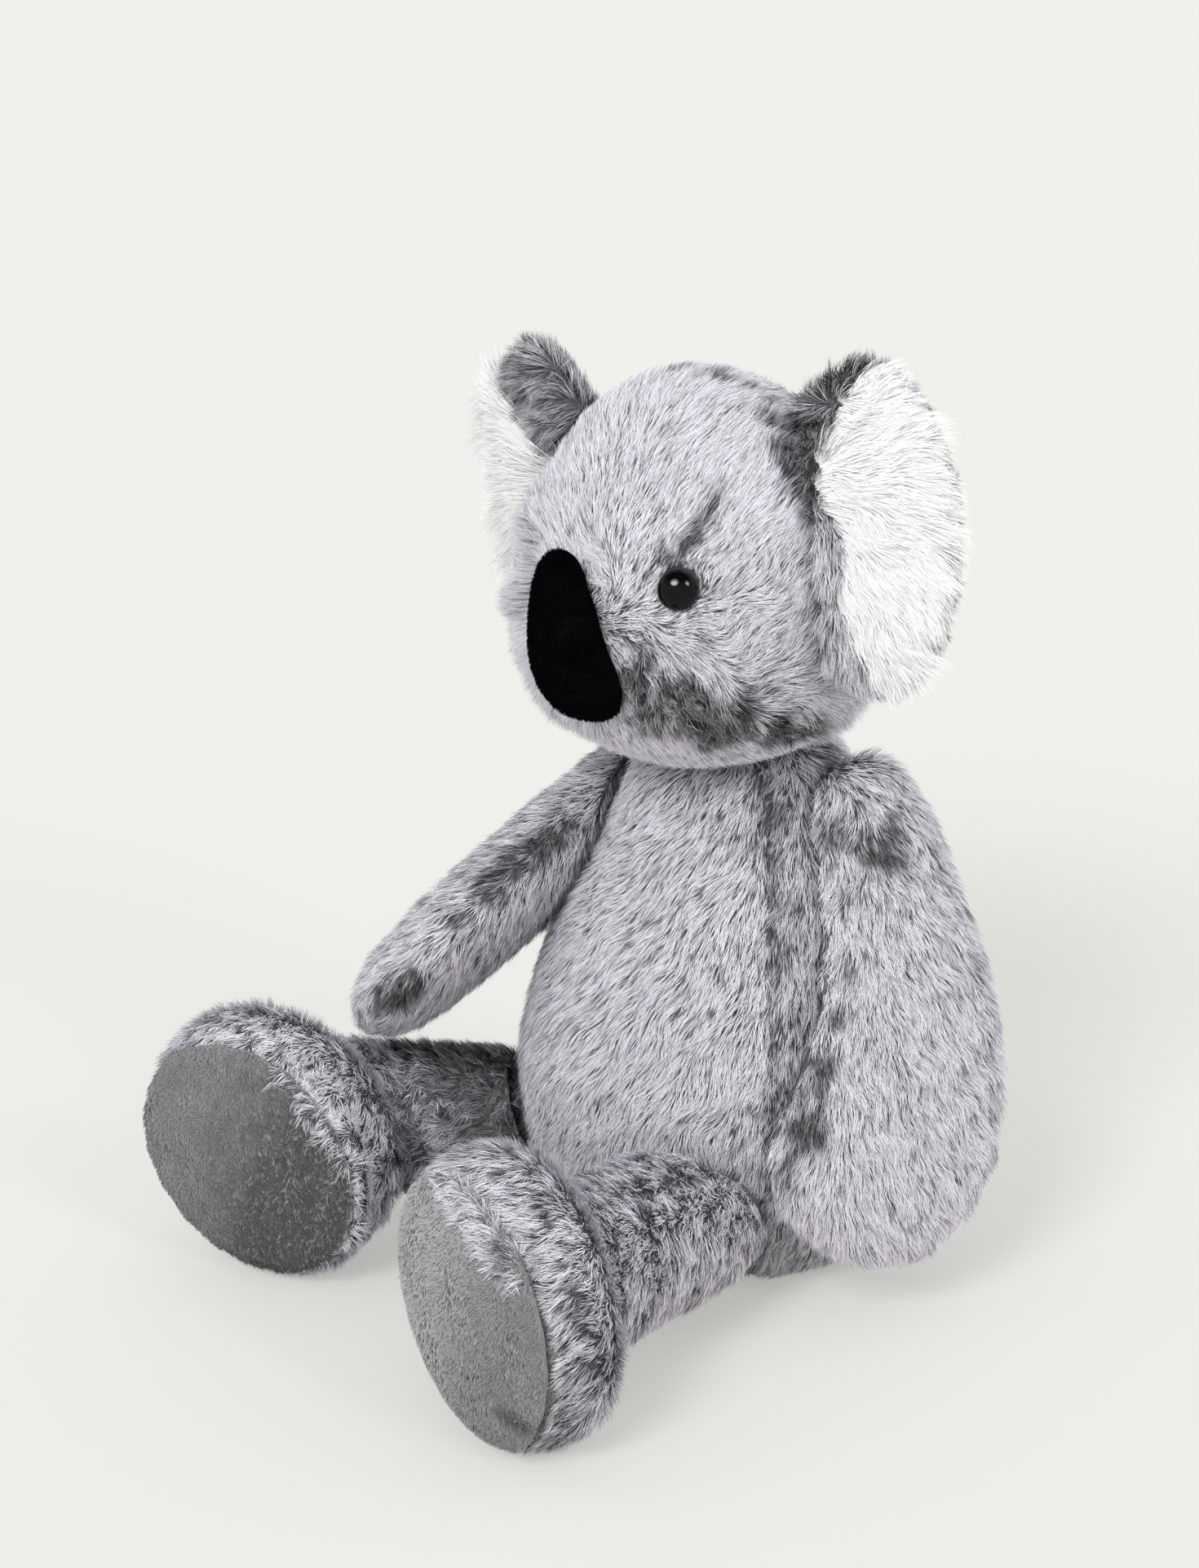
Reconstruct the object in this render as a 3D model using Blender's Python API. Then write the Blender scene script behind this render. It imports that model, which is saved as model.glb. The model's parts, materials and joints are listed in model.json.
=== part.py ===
"""A sitting plush koala, about 29 cm tall, built the way the toy is sewn.

Metres, +Z up. The origin is in the middle of the flat seat, under the neck. The koala looks along -Y,
so its left side is at +X. Every stuffed part is one form, oval rings threaded on a smooth middle line,
and its fur skin, the hollow in the skin and the stuffing in the hollow all come from that one form.
"""
import math

import bmesh
import bpy
from mathutils import Matrix, Vector

# Fabric and fits
SKIN = 0.006              # pile fabric, backing and lying pile together
CLEARANCE = 0.0003        # between pieces that touch
SWING_CLEARANCE = 0.0008  # between a limb and the body once the limb has moved
OVERRUN = 0.004           # how far a cutter passes the surface that it opens
FLAT_DEPTH = 0.0005       # how deep a foot is pressed flat where it stands

# Body, from the seat to the top of the shoulders; front and back are measured from the neck's axis
BODY_HEIGHT = 0.182
BODY_HALF_WIDTH = 0.068
BODY_FRONT = 0.077
BODY_BACK = 0.052
NECK_OPENING_RADIUS = 0.013
# How far up, then half the width, the front and the back, as shares of the sizes above
BODY_SHARES = (
    (0.00, 0.66, 0.58, 0.80),
    (0.06, 0.85, 0.80, 0.93),
    (0.20, 0.97, 0.96, 1.00),
    (0.38, 1.00, 1.00, 1.00),
    (0.60, 0.88, 0.83, 0.91),
    (0.79, 0.67, 0.57, 0.78),
    (0.92, 0.50, 0.442, 0.654),
    (0.98, 0.29, 0.256, 0.379),
    (1.00, 0.00, 0.000, 0.000),
)

# Pellet bag on the floor of the seat
PELLET_BAG_HEIGHT = 0.030
PELLET_BAG_HALF_WIDTH = 0.040
PELLET_BAG_HALF_DEPTH = 0.036
PELLET_BAG_FORWARD = 0.006
PELLET_BAG_SHARES = (
    (0.00, 0.80, 0.80, 0.80),
    (0.35, 1.00, 1.00, 1.00),
    (0.75, 0.80, 0.80, 0.80),
    (0.95, 0.38, 0.38, 0.38),
    (1.00, 0.00, 0.00, 0.00),
)

# Head, from the chin to the crown; it sits on the top of the body
HEAD_HEIGHT = 0.127
HEAD_HALF_WIDTH = 0.059
HEAD_FRONT = 0.056
HEAD_BACK = 0.055
HEAD_SEAT_DEPTH = 0.012   # how far the body's top reaches into the head
HEAD_FORWARD = 0.019      # the head's middle in front of the neck's axis
HEAD_TURN_DEG = 6.5       # looking a little to its left
HEAD_ROLL_DEG = 6.0       # right ear lower
HEAD_SHARES = (
    (0.00, 0.00, 0.00, 0.00),
    (0.04, 0.50, 0.50, 0.48),
    (0.16, 0.87, 0.88, 0.87),
    (0.34, 1.01, 1.02, 1.00),
    (0.54, 1.00, 0.98, 1.00),
    (0.75, 0.84, 0.78, 0.86),
    (0.92, 0.51, 0.47, 0.53),
    (1.00, 0.00, 0.00, 0.00),
)

# Ears, from the root inside the head to the outer rim
EAR_REACH = 0.040         # out of the side of the head
EAR_ROOT = 0.020          # inside the side of the head, where the head cuts it away
EAR_HALF_HEIGHT = 0.050
EAR_HALF_THICKNESS = 0.011
EAR_UP_SHARE = 0.62       # height of the ear's middle on the head
EAR_ROUND_DEG = 92.0      # from straight ahead
EAR_RISE_DEG = 13.0       # it points a little upward
EAR_BACK_DEG = 12.0       # and a little backward
EAR_LEFT_LEAN_DEG = -15.0  # its top leans forward
EAR_RIGHT_LEAN_DEG = 10.0
EAR_SHARES = (
    (0.00, 0.62, 0.80, 0.80),
    (0.30, 0.90, 1.00, 1.00),
    (0.58, 1.00, 1.00, 1.00),
    (0.82, 0.79, 0.85, 0.85),
    (0.96, 0.40, 0.50, 0.50),
    (1.00, 0.00, 0.00, 0.00),
)

# Nose pad, from its lower to its upper end
NOSE_HEIGHT = 0.053
NOSE_HALF_WIDTH = 0.0155
NOSE_FRONT = 0.012        # out of the face
NOSE_BACK = 0.010         # inside the face, where the head cuts it away
NOSE_UP_SHARE = 0.415     # height of its middle on the head
NOSE_TILT_DEG = -7.0      # its top leans forward over its lower end
NOSE_SHARES = (
    (0.00, 0.00, 0.00, 0.00),
    (0.05, 0.58, 0.52, 0.50),
    (0.25, 1.00, 0.94, 1.00),
    (0.50, 0.96, 1.00, 1.00),
    (0.78, 0.70, 0.78, 0.90),
    (0.95, 0.36, 0.40, 0.50),
    (1.00, 0.00, 0.00, 0.00),
)

# Safety eyes, with their posts, and the washers that lock them behind the fabric
EYE_RADIUS = 0.00625
EYE_DOME = 0.0055         # from the eye's flat back to its crown
EYE_RIM = 0.0010          # the straight edge under the dome
EYE_SINK = 0.0035         # the flat back under the tips of the pile
EYE_UP_SHARE = 0.545      # height on the head
EYE_ROUND_DEG = 35.0      # each side of the face's middle
EYE_ARC_STEPS = 6
POST_RADIUS = 0.0020
POST_LENGTH = 0.0110
WASHER_RADIUS = 0.0065
WASHER_THICKNESS = 0.0016
WASHER_GAP = 0.0016       # behind the backing at the post; the flat washer bears at its rim

# Arms, from the end behind the shoulder to the tip of the hand
ARM_LENGTH = 0.165
ARM_HALF_WIDTH = 0.040
ARM_HALF_THICKNESS = 0.0165
SHOULDER_UP_SHARE = 0.84  # height of the shoulder on the body
SHOULDER_ROUND_DEG = 104.0  # from straight ahead
SHOULDER_OUT = 0.004      # the shoulder's middle outside the body's side
ARM_ROOT_SHARE = 0.13     # the shoulder's middle along the arm
ARM_HINGE_SHARE = 0.03    # the top of its seam along the arm, round which it lifts
ARM_SHARES = (
    (0.00, 0.00, 0.00, 0.00),
    (0.03, 0.40, 0.52, 0.52),
    (0.12, 0.56, 0.86, 0.86),
    (0.32, 0.69, 1.02, 1.02),
    (0.56, 0.94, 1.04, 1.04),
    (0.78, 1.00, 1.00, 1.00),
    (0.94, 0.64, 0.74, 0.74),
    (1.00, 0.00, 0.00, 0.00),
)
# Degrees outward and forward of straight down, where the arm leaves the shoulder and at the hand, and
# the twist of its broad side from facing outward
ARM_LEFT_LEAVES_DEG = (28.0, -12.0)
ARM_LEFT_ARRIVES_DEG = (0.0, 34.0)
ARM_LEFT_TWIST_DEG = 20.0
ARM_RIGHT_LEAVES_DEG = (8.0, 61.0)
ARM_RIGHT_ARRIVES_DEG = (5.0, 56.0)
ARM_RIGHT_TWIST_DEG = -48.0
ARM_LIFT_DEG = 60.0

# Legs, from the end behind the hip to the sole
LEG_LENGTH = 0.148
LEG_RADIUS = 0.026
FOOT_HALF_LENGTH = 0.046
FOOT_HALF_WIDTH = 0.040
HIP_UP = 0.031            # height of each hip's middle
HIP_APART = 0.034         # each hip from the koala's middle
HIP_FORWARD = 0.042       # in front of the neck's axis
LEG_ROOT_SHARE = 0.17     # the hip's middle along the leg
FOOT_SHARE = 0.92         # the middle of the foot along the leg
# Along the leg: its tube's radius as a share of LEG_RADIUS, and how far the foot has widened
LEG_SHARES = (
    (0.00, 0.00, 0.00),
    (0.03, 0.52, 0.00),
    (0.17, 1.00, 0.00),
    (0.40, 1.02, 0.00),
    (0.60, 0.98, 0.08),
    (0.76, 1.00, 0.56),
    (0.88, 1.00, 0.95),
    (0.96, 0.97, 0.98),
    (1.00, 0.80, 0.78),
)
# Degrees outward of straight ahead where the leg leaves the hip and at the sole, and the toe's lean
LEG_LEFT_LEAVES_DEG = 24.0
LEG_LEFT_ARRIVES_DEG = -3.0
LEG_LEFT_TOE_IN_DEG = 32.0
LEG_RIGHT_LEAVES_DEG = 38.0
LEG_RIGHT_ARRIVES_DEG = -27.0
LEG_RIGHT_TOE_IN_DEG = -50.0
LEG_RISE_LIMITS_DEG = (-40.0, 60.0)
LEG_BEND_POWER = 2.3      # over 1: it bends at the ankle more than along the leg
LEG_DROP_DEG = 60.0

# Soles, from the edge that wraps back round the foot to the crown
SOLE_CROWN = 0.0045       # in front of the end of the foot
SOLE_WRAP = 0.0060        # behind it
SOLE_SHARES = (
    (0.00, 0.88),
    (0.30, 0.91),
    (0.57, 0.90),
    (0.86, 0.60),
    (1.00, 0.00),
)

# Poses, rest aside, at which a limb is cut clear of the body
SWING_STEPS = 3

# Rings and their corners: the outer surfaces, and the plainer hollows and stuffing
BODY_COUNTS = (18, 28)
BODY_FILL_COUNTS = (12, 18)
HEAD_COUNTS = (16, 28)
HEAD_FILL_COUNTS = (14, 24)
LIMB_COUNTS = (16, 20)
LIMB_FILL_COUNTS = (12, 12)
EAR_COUNTS = (12, 22)
NOSE_COUNTS = (10, 16)
SOLE_COUNTS = (5, 20)
ROUND_CORNERS = 24
LINE_STEPS = 40
HALVINGS = 40
SHARP_DEG = 40.0
TINY = 1e-6

FRONT = Vector((0.0, -1.0, 0.0))
LEFT = Vector((1.0, 0.0, 0.0))
UP = Vector((0.0, 0.0, 1.0))

# Base colour and roughness
FINISHES = {
    "grey_fur": ((0.34, 0.33, 0.35, 1.0), 0.9),
    "white_fur": ((0.88, 0.88, 0.88, 1.0), 0.9),
    "sole_velour": ((0.25, 0.25, 0.25, 1.0), 0.85),
    "nose_velour": ((0.012, 0.012, 0.014, 1.0), 0.85),
    "eye_plastic": ((0.01, 0.01, 0.01, 1.0), 0.15),
    "washer_plastic": ((0.8, 0.8, 0.78, 1.0), 0.5),
    "stuffing": ((0.9, 0.9, 0.9, 1.0), 0.95),
    "pellet_cloth": ((0.75, 0.74, 0.7, 1.0), 0.9),
}


def halve(low, high, is_low):
    """The value between low and high where is_low stops being true."""
    for _ in range(HALVINGS):
        middle = (low + high) / 2
        if is_low(middle):
            low = middle
        else:
            high = middle
    return low


def past_end(end, inner):
    """The station past an end: mirrored across the middle line at a round end, straight on at a flat one."""
    if end[1] == 0:
        return Vector((inner[0], *(-size for size in inner[1:])))
    return end * 2 - inner


def smooth_through(stations, share):
    """The station at a share of the way along the smooth curve through all the stations."""
    last = len(stations) - 1
    place = share * last
    first = min(int(place), last - 1)
    part = place - first
    b, c = stations[first], stations[first + 1]
    a = stations[first - 1] if first else past_end(b, c)
    d = stations[first + 2] if first + 2 <= last else past_end(c, b)
    slope = a * 2 - b * 5 + c * 4 - d
    bend = b * 3 - a - c * 3 + d
    return b + ((c - a) * part + slope * part ** 2 + bend * part ** 3) / 2


class Line:
    """A middle line that leaves in one direction and arrives in another, and its broad direction."""

    def __init__(self, length, leaves, arrives, broad, bend_power=1.0):
        self.length = length
        self.leaves = leaves
        self.arrives = arrives
        self.broad = broad
        self.bend_power = bend_power
        self.points = [Vector((0.0, 0.0, 0.0))]
        for step in range(LINE_STEPS):
            way = self.way((step + 0.5) / LINE_STEPS)
            self.points.append(self.points[-1] + way * length / LINE_STEPS)

    def way(self, share):
        return self.leaves.lerp(self.arrives, share ** self.bend_power).normalized()

    def point(self, share):
        place = share * LINE_STEPS
        first = min(int(place), LINE_STEPS - 1)
        return self.points[first].lerp(self.points[first + 1], place - first)

    def frame(self, share):
        """The point there, the broad direction and the thick direction, which is the front of a form."""
        way = self.way(share)
        broad = (self.broad - way * self.broad.dot(way)).normalized()
        return self.point(share), broad, way.cross(broad)

    def through(self, place, share=0.0):
        """The same line, moved so that its point at the share is at the place."""
        shift = place - self.point(share)
        self.points = [point + shift for point in self.points]
        return self


def drawn_in(stations, length, inset):
    """The stations of the same form with its sides and ends drawn in."""
    end = inset / length
    return [(end + along * (1 - 2 * end), *(max(size - inset, 0.0) for size in sizes))
            for along, *sizes in stations]


def form(line, stations, counts, inset=0.0, level=None):
    """A mesh of oval rings on a line. A station is how far along, half the width, the front and the back.

    The form is drawn in by the inset and cut flat at the level.
    """
    rings, corners = counts
    stations = [Vector(station) for station in drawn_in(stations, line.length, inset)]
    bm = bmesh.new()
    loops = []
    for ring in range(rings + 1):
        along, width, front, back = smooth_through(stations, ring / rings)
        centre, broad, thick = line.frame(min(max(along, 0.0), 1.0))
        if width < TINY:
            loops.append([bm.verts.new(centre)])
            continue
        loop = []
        for corner in range(corners):
            across = math.cos(math.tau * corner / corners)
            ahead = math.sin(math.tau * corner / corners)
            depth = front if ahead > 0 else back
            loop.append(bm.verts.new(centre + broad * width * across + thick * depth * ahead))
        loops.append(loop)
    for near, far in zip(loops, loops[1:]):
        join_rings(bm, near, far)
    for loop in (loops[0], loops[-1]):
        if len(loop) > 1:
            bm.faces.new(loop)
    bmesh.ops.recalc_face_normals(bm, faces=bm.faces)
    return bm if level is None else cut_flat(bm, UP * level, UP)


def join_rings(bm, near, far):
    """The faces between two rings, or between a ring and a pole."""
    corners = max(len(near), len(far))
    for corner in range(corners):
        after = corner + 1
        face = [ring[place % len(ring)] for ring, place in
                ((near, corner), (near, after), (far, after), (far, corner))]
        bm.faces.new(list(dict.fromkeys(face)))


def grown(bm, distance):
    """The same mesh with every corner moved out along its normal."""
    bm.normal_update()
    for vert in bm.verts:
        vert.co += vert.normal * distance
    return bm


def cut_flat(bm, point, keep):
    """Cut with the plane through a point, keep the side that the direction points to and close the cut."""
    geometry = bm.verts[:] + bm.edges[:] + bm.faces[:]
    bmesh.ops.bisect_plane(bm, geom=geometry, dist=TINY, plane_co=point, plane_no=-keep, clear_outer=True)
    bmesh.ops.holes_fill(bm, edges=[edge for edge in bm.edges if edge.is_boundary])
    bmesh.ops.recalc_face_normals(bm, faces=bm.faces)
    return bm


def turned(profile, centre, axis):
    """A turned shape: a profile of (radius, distance along the axis) spun round the axis."""
    bm = bmesh.new()
    side = axis.orthogonal().normalized()
    verts = [bm.verts.new(centre + side * radius + axis * along) for radius, along in profile]
    edges = [bm.edges.new(pair) for pair in zip(verts, verts[1:])]
    bmesh.ops.spin(bm, geom=verts + edges, cent=centre, axis=axis, angle=math.tau, steps=ROUND_CORNERS)
    bmesh.ops.remove_doubles(bm, verts=bm.verts, dist=TINY)
    bmesh.ops.recalc_face_normals(bm, faces=bm.faces)
    return bm


def new_object(name, bm):
    mesh = bpy.data.meshes.new(name)
    bm.to_mesh(mesh)
    bm.free()
    mesh.shade_smooth()
    mesh.set_sharp_from_angle(angle=math.radians(SHARP_DEG))
    made = bpy.data.objects.new(name, mesh)
    bpy.context.scene.collection.objects.link(made)
    return made


def piece(name, bm, finish, holder=None, cutters=(), solver="EXACT"):
    """A sub-part with a material of its own, on its joint's empty, less what the cutters take away."""
    made = new_object(name, bm)
    colour, roughness = FINISHES[finish]
    material = bpy.data.materials.new(f"{name}_{finish}")
    material.use_nodes = True
    shader = material.node_tree.nodes["Principled BSDF"]
    shader.inputs["Base Color"].default_value = colour
    shader.inputs["Roughness"].default_value = roughness
    shader.inputs["Metallic"].default_value = 0.0
    material.diffuse_color = colour
    made.data.materials.append(material)
    if holder:
        made.data.transform(Matrix.Translation(-holder.location))
        made.parent = holder
    for tool in cutters:
        cut = made.modifiers.new(tool.name, "BOOLEAN")
        cut.operation = "DIFFERENCE"
        cut.solver = solver
        cut.object = tool
    return made


def cutter(name, bm):
    made = new_object(name, bm)
    made.hide_render = True
    made.display_type = "WIRE"
    return made


def joint_at(name, point):
    """An empty on a joint's axis, which holds all that moves with the joint."""
    made = bpy.data.objects.new(name, None)
    made.location = point
    bpy.context.scene.collection.objects.link(made)
    return made


def scaled(shares, width, front, back):
    """Stations in metres; how far along stays a share of the line."""
    return [(along, w * width, f * front, b * back) for along, w, f, b in shares]


def surface_point(line, stations, up_share, round_deg, side):
    """A point on an upright form at a height and round from straight ahead, and the way out of it."""
    stations = [Vector(station) for station in stations]

    def at(share, degrees):
        along, width, front, back = smooth_through(stations, share)
        centre, broad, thick = line.frame(along)
        ahead = math.cos(math.radians(degrees))
        depth = front if ahead > 0 else back
        return centre - broad * side * width * math.sin(math.radians(degrees)) + thick * depth * ahead

    share = halve(0.0, 1.0, lambda middle: smooth_through(stations, middle)[0] < up_share)
    step = 1.0 / LINE_STEPS
    point = at(share, round_deg)
    rise = at(share + step, round_deg) - at(share - step, round_deg)
    across = at(share, round_deg + 1.0) - at(share, round_deg - 1.0)
    out = across.cross(rise).normalized()
    if out.dot(point - line.point(up_share)) < 0:
        out = -out
    return point, out


def down_way(outward_deg, forward_deg, side):
    """A direction swung forward and outward from straight down."""
    outward, forward = math.radians(outward_deg), math.radians(forward_deg)
    down = -UP * math.cos(forward) + FRONT * math.sin(forward)
    return down * math.cos(outward) + LEFT * side * math.sin(outward)


def ahead_way(outward_deg, rise_deg, side):
    """A direction turned outward and raised from straight ahead."""
    outward, rise = math.radians(outward_deg), math.radians(rise_deg)
    level = FRONT * math.cos(outward) + LEFT * side * math.sin(outward)
    return level * math.cos(rise) + UP * math.sin(rise)


def swing_axis(way, toward):
    """The axis round which a limb lying along a way swings toward a direction."""
    return way.cross(toward).normalized()


BODY_LINE = Line(BODY_HEIGHT, UP, UP, -LEFT)
BODY_STATIONS = scaled(BODY_SHARES, BODY_HALF_WIDTH, BODY_FRONT, BODY_BACK)


def make_body():
    """The skin and its stuffing, with the pellet bag in the seat."""
    bag_line = Line(PELLET_BAG_HEIGHT, UP, UP, -LEFT)
    bag_line.through(FRONT * PELLET_BAG_FORWARD + UP * (SKIN + CLEARANCE))
    bag_stations = scaled(PELLET_BAG_SHARES, PELLET_BAG_HALF_WIDTH, PELLET_BAG_HALF_DEPTH,
                          PELLET_BAG_HALF_DEPTH)
    hollow = cutter("cut_body_hollow", form(BODY_LINE, BODY_STATIONS, BODY_FILL_COUNTS, SKIN))
    opening_bottom = BODY_HEIGHT - SKIN - OVERRUN
    opening_top = BODY_HEIGHT + OVERRUN
    opening = ((0.0, opening_bottom), (NECK_OPENING_RADIUS, opening_bottom),
               (NECK_OPENING_RADIUS, opening_top), (0.0, opening_top))
    neck = cutter("cut_neck_opening", turned(opening, BODY_LINE.point(0.0), UP))
    pocket = cutter("cut_pellet_pocket", grown(form(bag_line, bag_stations, BODY_FILL_COUNTS), CLEARANCE))
    outer = form(BODY_LINE, BODY_STATIONS, BODY_COUNTS)
    filling = form(BODY_LINE, BODY_STATIONS, BODY_FILL_COUNTS, SKIN + CLEARANCE)
    piece("body_skin", outer, "grey_fur", cutters=(hollow, neck))
    piece("body_fill", filling, "stuffing", cutters=(pocket,))
    piece("pellet_bag", form(bag_line, bag_stations, BODY_FILL_COUNTS), "pellet_cloth")


def head_line():
    """The head's middle line, from the chin to the crown, turned and rolled as the koala holds it."""
    turn = Matrix.Rotation(math.radians(HEAD_TURN_DEG), 3, UP)
    roll = Matrix.Rotation(math.radians(HEAD_ROLL_DEG), 3, FRONT)
    up = turn @ roll @ UP
    line = Line(HEAD_HEIGHT, up, up, turn @ roll @ -LEFT)
    middle_up = BODY_HEIGHT - HEAD_SEAT_DEPTH + HEAD_HEIGHT / 2
    return line.through(UP * middle_up + FRONT * HEAD_FORWARD, 0.5)


HEAD_LINE = head_line()
HEAD_STATIONS = scaled(HEAD_SHARES, HEAD_HALF_WIDTH, HEAD_FRONT, HEAD_BACK)


def neck_seat():
    """What the head clears as it turns: the body's top, as a turned shape as wide as the body anywhere."""
    stations = [Vector(station) for station in BODY_STATIONS]
    rings = BODY_COUNTS[0]
    outside = 1 / math.cos(math.pi / ROUND_CORNERS)
    profile = []
    for ring in range(rings // 2, rings + 1):
        along, *sizes = smooth_through(stations, ring / rings)
        profile.append((max(sizes) * outside, along * BODY_HEIGHT))
    bottom = profile[0][1]
    seat = turned([(0.0, bottom)] + profile, BODY_LINE.point(0.0), UP)
    return cutter("cut_neck_seat", grown(seat, CLEARANCE))


def eye_profile(spare, above=0.0):
    """The outline of an eye and its post, grown by the spare and reaching so far above its crown."""
    rim = EYE_RADIUS + spare
    outline = [(rim * math.cos(turn), EYE_RIM + (EYE_DOME - EYE_RIM + spare) * math.sin(turn))
               for turn in (math.pi / 2 * step / EYE_ARC_STEPS for step in range(EYE_ARC_STEPS))]
    outline = [(rim, EYE_DOME + above), (0.0, EYE_DOME + above)] if above else outline + [(0.0, EYE_DOME)]
    inner = [(0.0, -POST_LENGTH - spare), (POST_RADIUS + spare, -POST_LENGTH - spare),
             (POST_RADIUS + spare, -spare), (rim, -spare)]
    return inner + outline


def washer_profile():
    hole = POST_RADIUS + CLEARANCE
    return [(hole, 0.0), (WASHER_RADIUS, 0.0), (WASHER_RADIUS, -WASHER_THICKNESS),
            (hole, -WASHER_THICKNESS), (hole, 0.0)]


def washer_pocket_profile():
    """Room in the stuffing for a washer and the end of its post, open toward the fabric."""
    wide = WASHER_RADIUS + CLEARANCE
    deep = -WASHER_THICKNESS - CLEARANCE
    post_end = SKIN + WASHER_GAP - EYE_SINK - POST_LENGTH - CLEARANCE
    return [(0.0, post_end), (POST_RADIUS + CLEARANCE, post_end), (POST_RADIUS + CLEARANCE, deep),
            (wide, deep), (wide, OVERRUN), (0.0, OVERRUN)]


def make_head(neck):
    """The head's skin and stuffing, its eyes, nose and ears."""
    seat = neck_seat()
    hollow = cutter("cut_head_hollow", form(HEAD_LINE, HEAD_STATIONS, HEAD_FILL_COUNTS, SKIN))
    solid = cutter("cut_head", grown(form(HEAD_LINE, HEAD_STATIONS, HEAD_COUNTS), CLEARANCE))
    eye_holes, washer_pockets = [], []
    for side_name, side in (("left", 1), ("right", -1)):
        place, out = surface_point(HEAD_LINE, HEAD_STATIONS, EYE_UP_SHARE, EYE_ROUND_DEG, side)
        back = place - out * EYE_SINK
        washer = place - out * (SKIN + WASHER_GAP)
        eye_holes.append(cutter(f"cut_eye_{side_name}", turned(eye_profile(CLEARANCE, OVERRUN), back, out)))
        washer_pockets.append(cutter(f"cut_washer_{side_name}", turned(washer_pocket_profile(), washer, out)))
        piece(f"eye_{side_name}", turned(eye_profile(0.0), back, out), "eye_plastic", neck)
        piece(f"eye_{side_name}_washer", turned(washer_profile(), washer, out), "washer_plastic", neck)
        make_ear(side_name, side, neck, solid)
    outer = form(HEAD_LINE, HEAD_STATIONS, HEAD_COUNTS)
    filling = form(HEAD_LINE, HEAD_STATIONS, HEAD_FILL_COUNTS, SKIN + CLEARANCE)
    piece("head_skin", outer, "grey_fur", neck, [hollow, seat, *eye_holes])
    piece("head_fill", filling, "stuffing", neck, [seat, *washer_pockets])
    make_nose(neck, solid)


def make_nose(neck, solid):
    """The velour pad on the face, leaning back with the forehead."""
    middle, _ = surface_point(HEAD_LINE, HEAD_STATIONS, NOSE_UP_SHARE, 0.0, 1)
    _, broad, front = HEAD_LINE.frame(0.5)
    up = HEAD_LINE.way(0.5)
    tilt = math.radians(NOSE_TILT_DEG)
    way = up * math.cos(tilt) - front * math.sin(tilt)
    line = Line(NOSE_HEIGHT, way, way, broad).through(middle, 0.5)
    pad = form(line, scaled(NOSE_SHARES, NOSE_HALF_WIDTH, NOSE_FRONT, NOSE_BACK), NOSE_COUNTS)
    piece("nose", pad, "nose_velour", neck, [solid])


def make_ear(side_name, side, neck, solid):
    """An ear of two layers, white in front and grey behind, that meet in its middle plane."""
    root, _ = surface_point(HEAD_LINE, HEAD_STATIONS, EAR_UP_SHARE, EAR_ROUND_DEG, side)
    _, broad, front = HEAD_LINE.frame(0.5)
    out = -broad * side
    up = HEAD_LINE.way(0.5)
    lean_deg = EAR_LEFT_LEAN_DEG if side > 0 else EAR_RIGHT_LEAN_DEG
    rise, back, lean = (math.radians(turn) for turn in (EAR_RISE_DEG, EAR_BACK_DEG, lean_deg))
    way = (out * math.cos(back) - front * math.sin(back)) * math.cos(rise) + up * math.sin(rise)
    tall = (up * math.cos(lean) + front * math.sin(lean)) * side
    length = EAR_ROOT + EAR_REACH
    line = Line(length, way, way, tall).through(root, EAR_ROOT / length)
    stations = scaled(EAR_SHARES, EAR_HALF_HEIGHT, EAR_HALF_THICKNESS, EAR_HALF_THICKNESS)
    centre, _, face = line.frame(0.5)
    for layer, finish, toward in (("front", "white_fur", face), ("back", "grey_fur", -face)):
        half = cut_flat(form(line, stations, EAR_COUNTS), centre + toward * CLEARANCE / 2, toward)
        piece(f"ear_{side_name}_{layer}", half, finish, neck, [solid])


def body_cutters(name, centre, axis, swing_deg):
    """The body as a limb meets it, at rest and through the limb's swing."""
    made = []
    for step in range(SWING_STEPS + 1):
        spare = SWING_CLEARANCE if step else CLEARANCE
        body = grown(form(BODY_LINE, BODY_STATIONS, BODY_COUNTS), spare)
        turn = Matrix.Rotation(-math.radians(swing_deg) * step / SWING_STEPS, 4, axis)
        posed = Matrix.Translation(centre) @ turn @ Matrix.Translation(-centre)
        bmesh.ops.transform(body, matrix=posed, verts=body.verts)
        made.append(cutter(f"cut_{name}_{step}", body))
    return made


def make_limb(name, line, stations, hinge_share, axis, swing_deg, level=None):
    """A limb's skin and stuffing on its joint's empty, cut by the body wherever the limb swings."""
    centre = line.point(hinge_share)
    holder = joint_at(f"{name}_joint", centre)
    body = body_cutters(name, centre, axis, swing_deg)
    floors = (level, None, None) if level is None else (level, level + SKIN, level + SKIN + CLEARANCE)
    hollow = cutter(f"cut_{name}_hollow", form(line, stations, LIMB_FILL_COUNTS, SKIN, floors[1]))
    outer = form(line, stations, LIMB_COUNTS, 0.0, floors[0])
    filling = form(line, stations, LIMB_FILL_COUNTS, SKIN + CLEARANCE, floors[2])
    # The body's surface at one step of the swing crosses the last one's at a slant too fine for EXACT
    piece(f"{name}_skin", outer, "grey_fur", holder, [hollow, *body], "MANIFOLD")
    piece(f"{name}_fill", filling, "stuffing", holder, body, "MANIFOLD")
    print(name, "joint at", [round(value, 5) for value in centre], "axis", [round(value, 5) for value in axis])
    return holder


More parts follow.
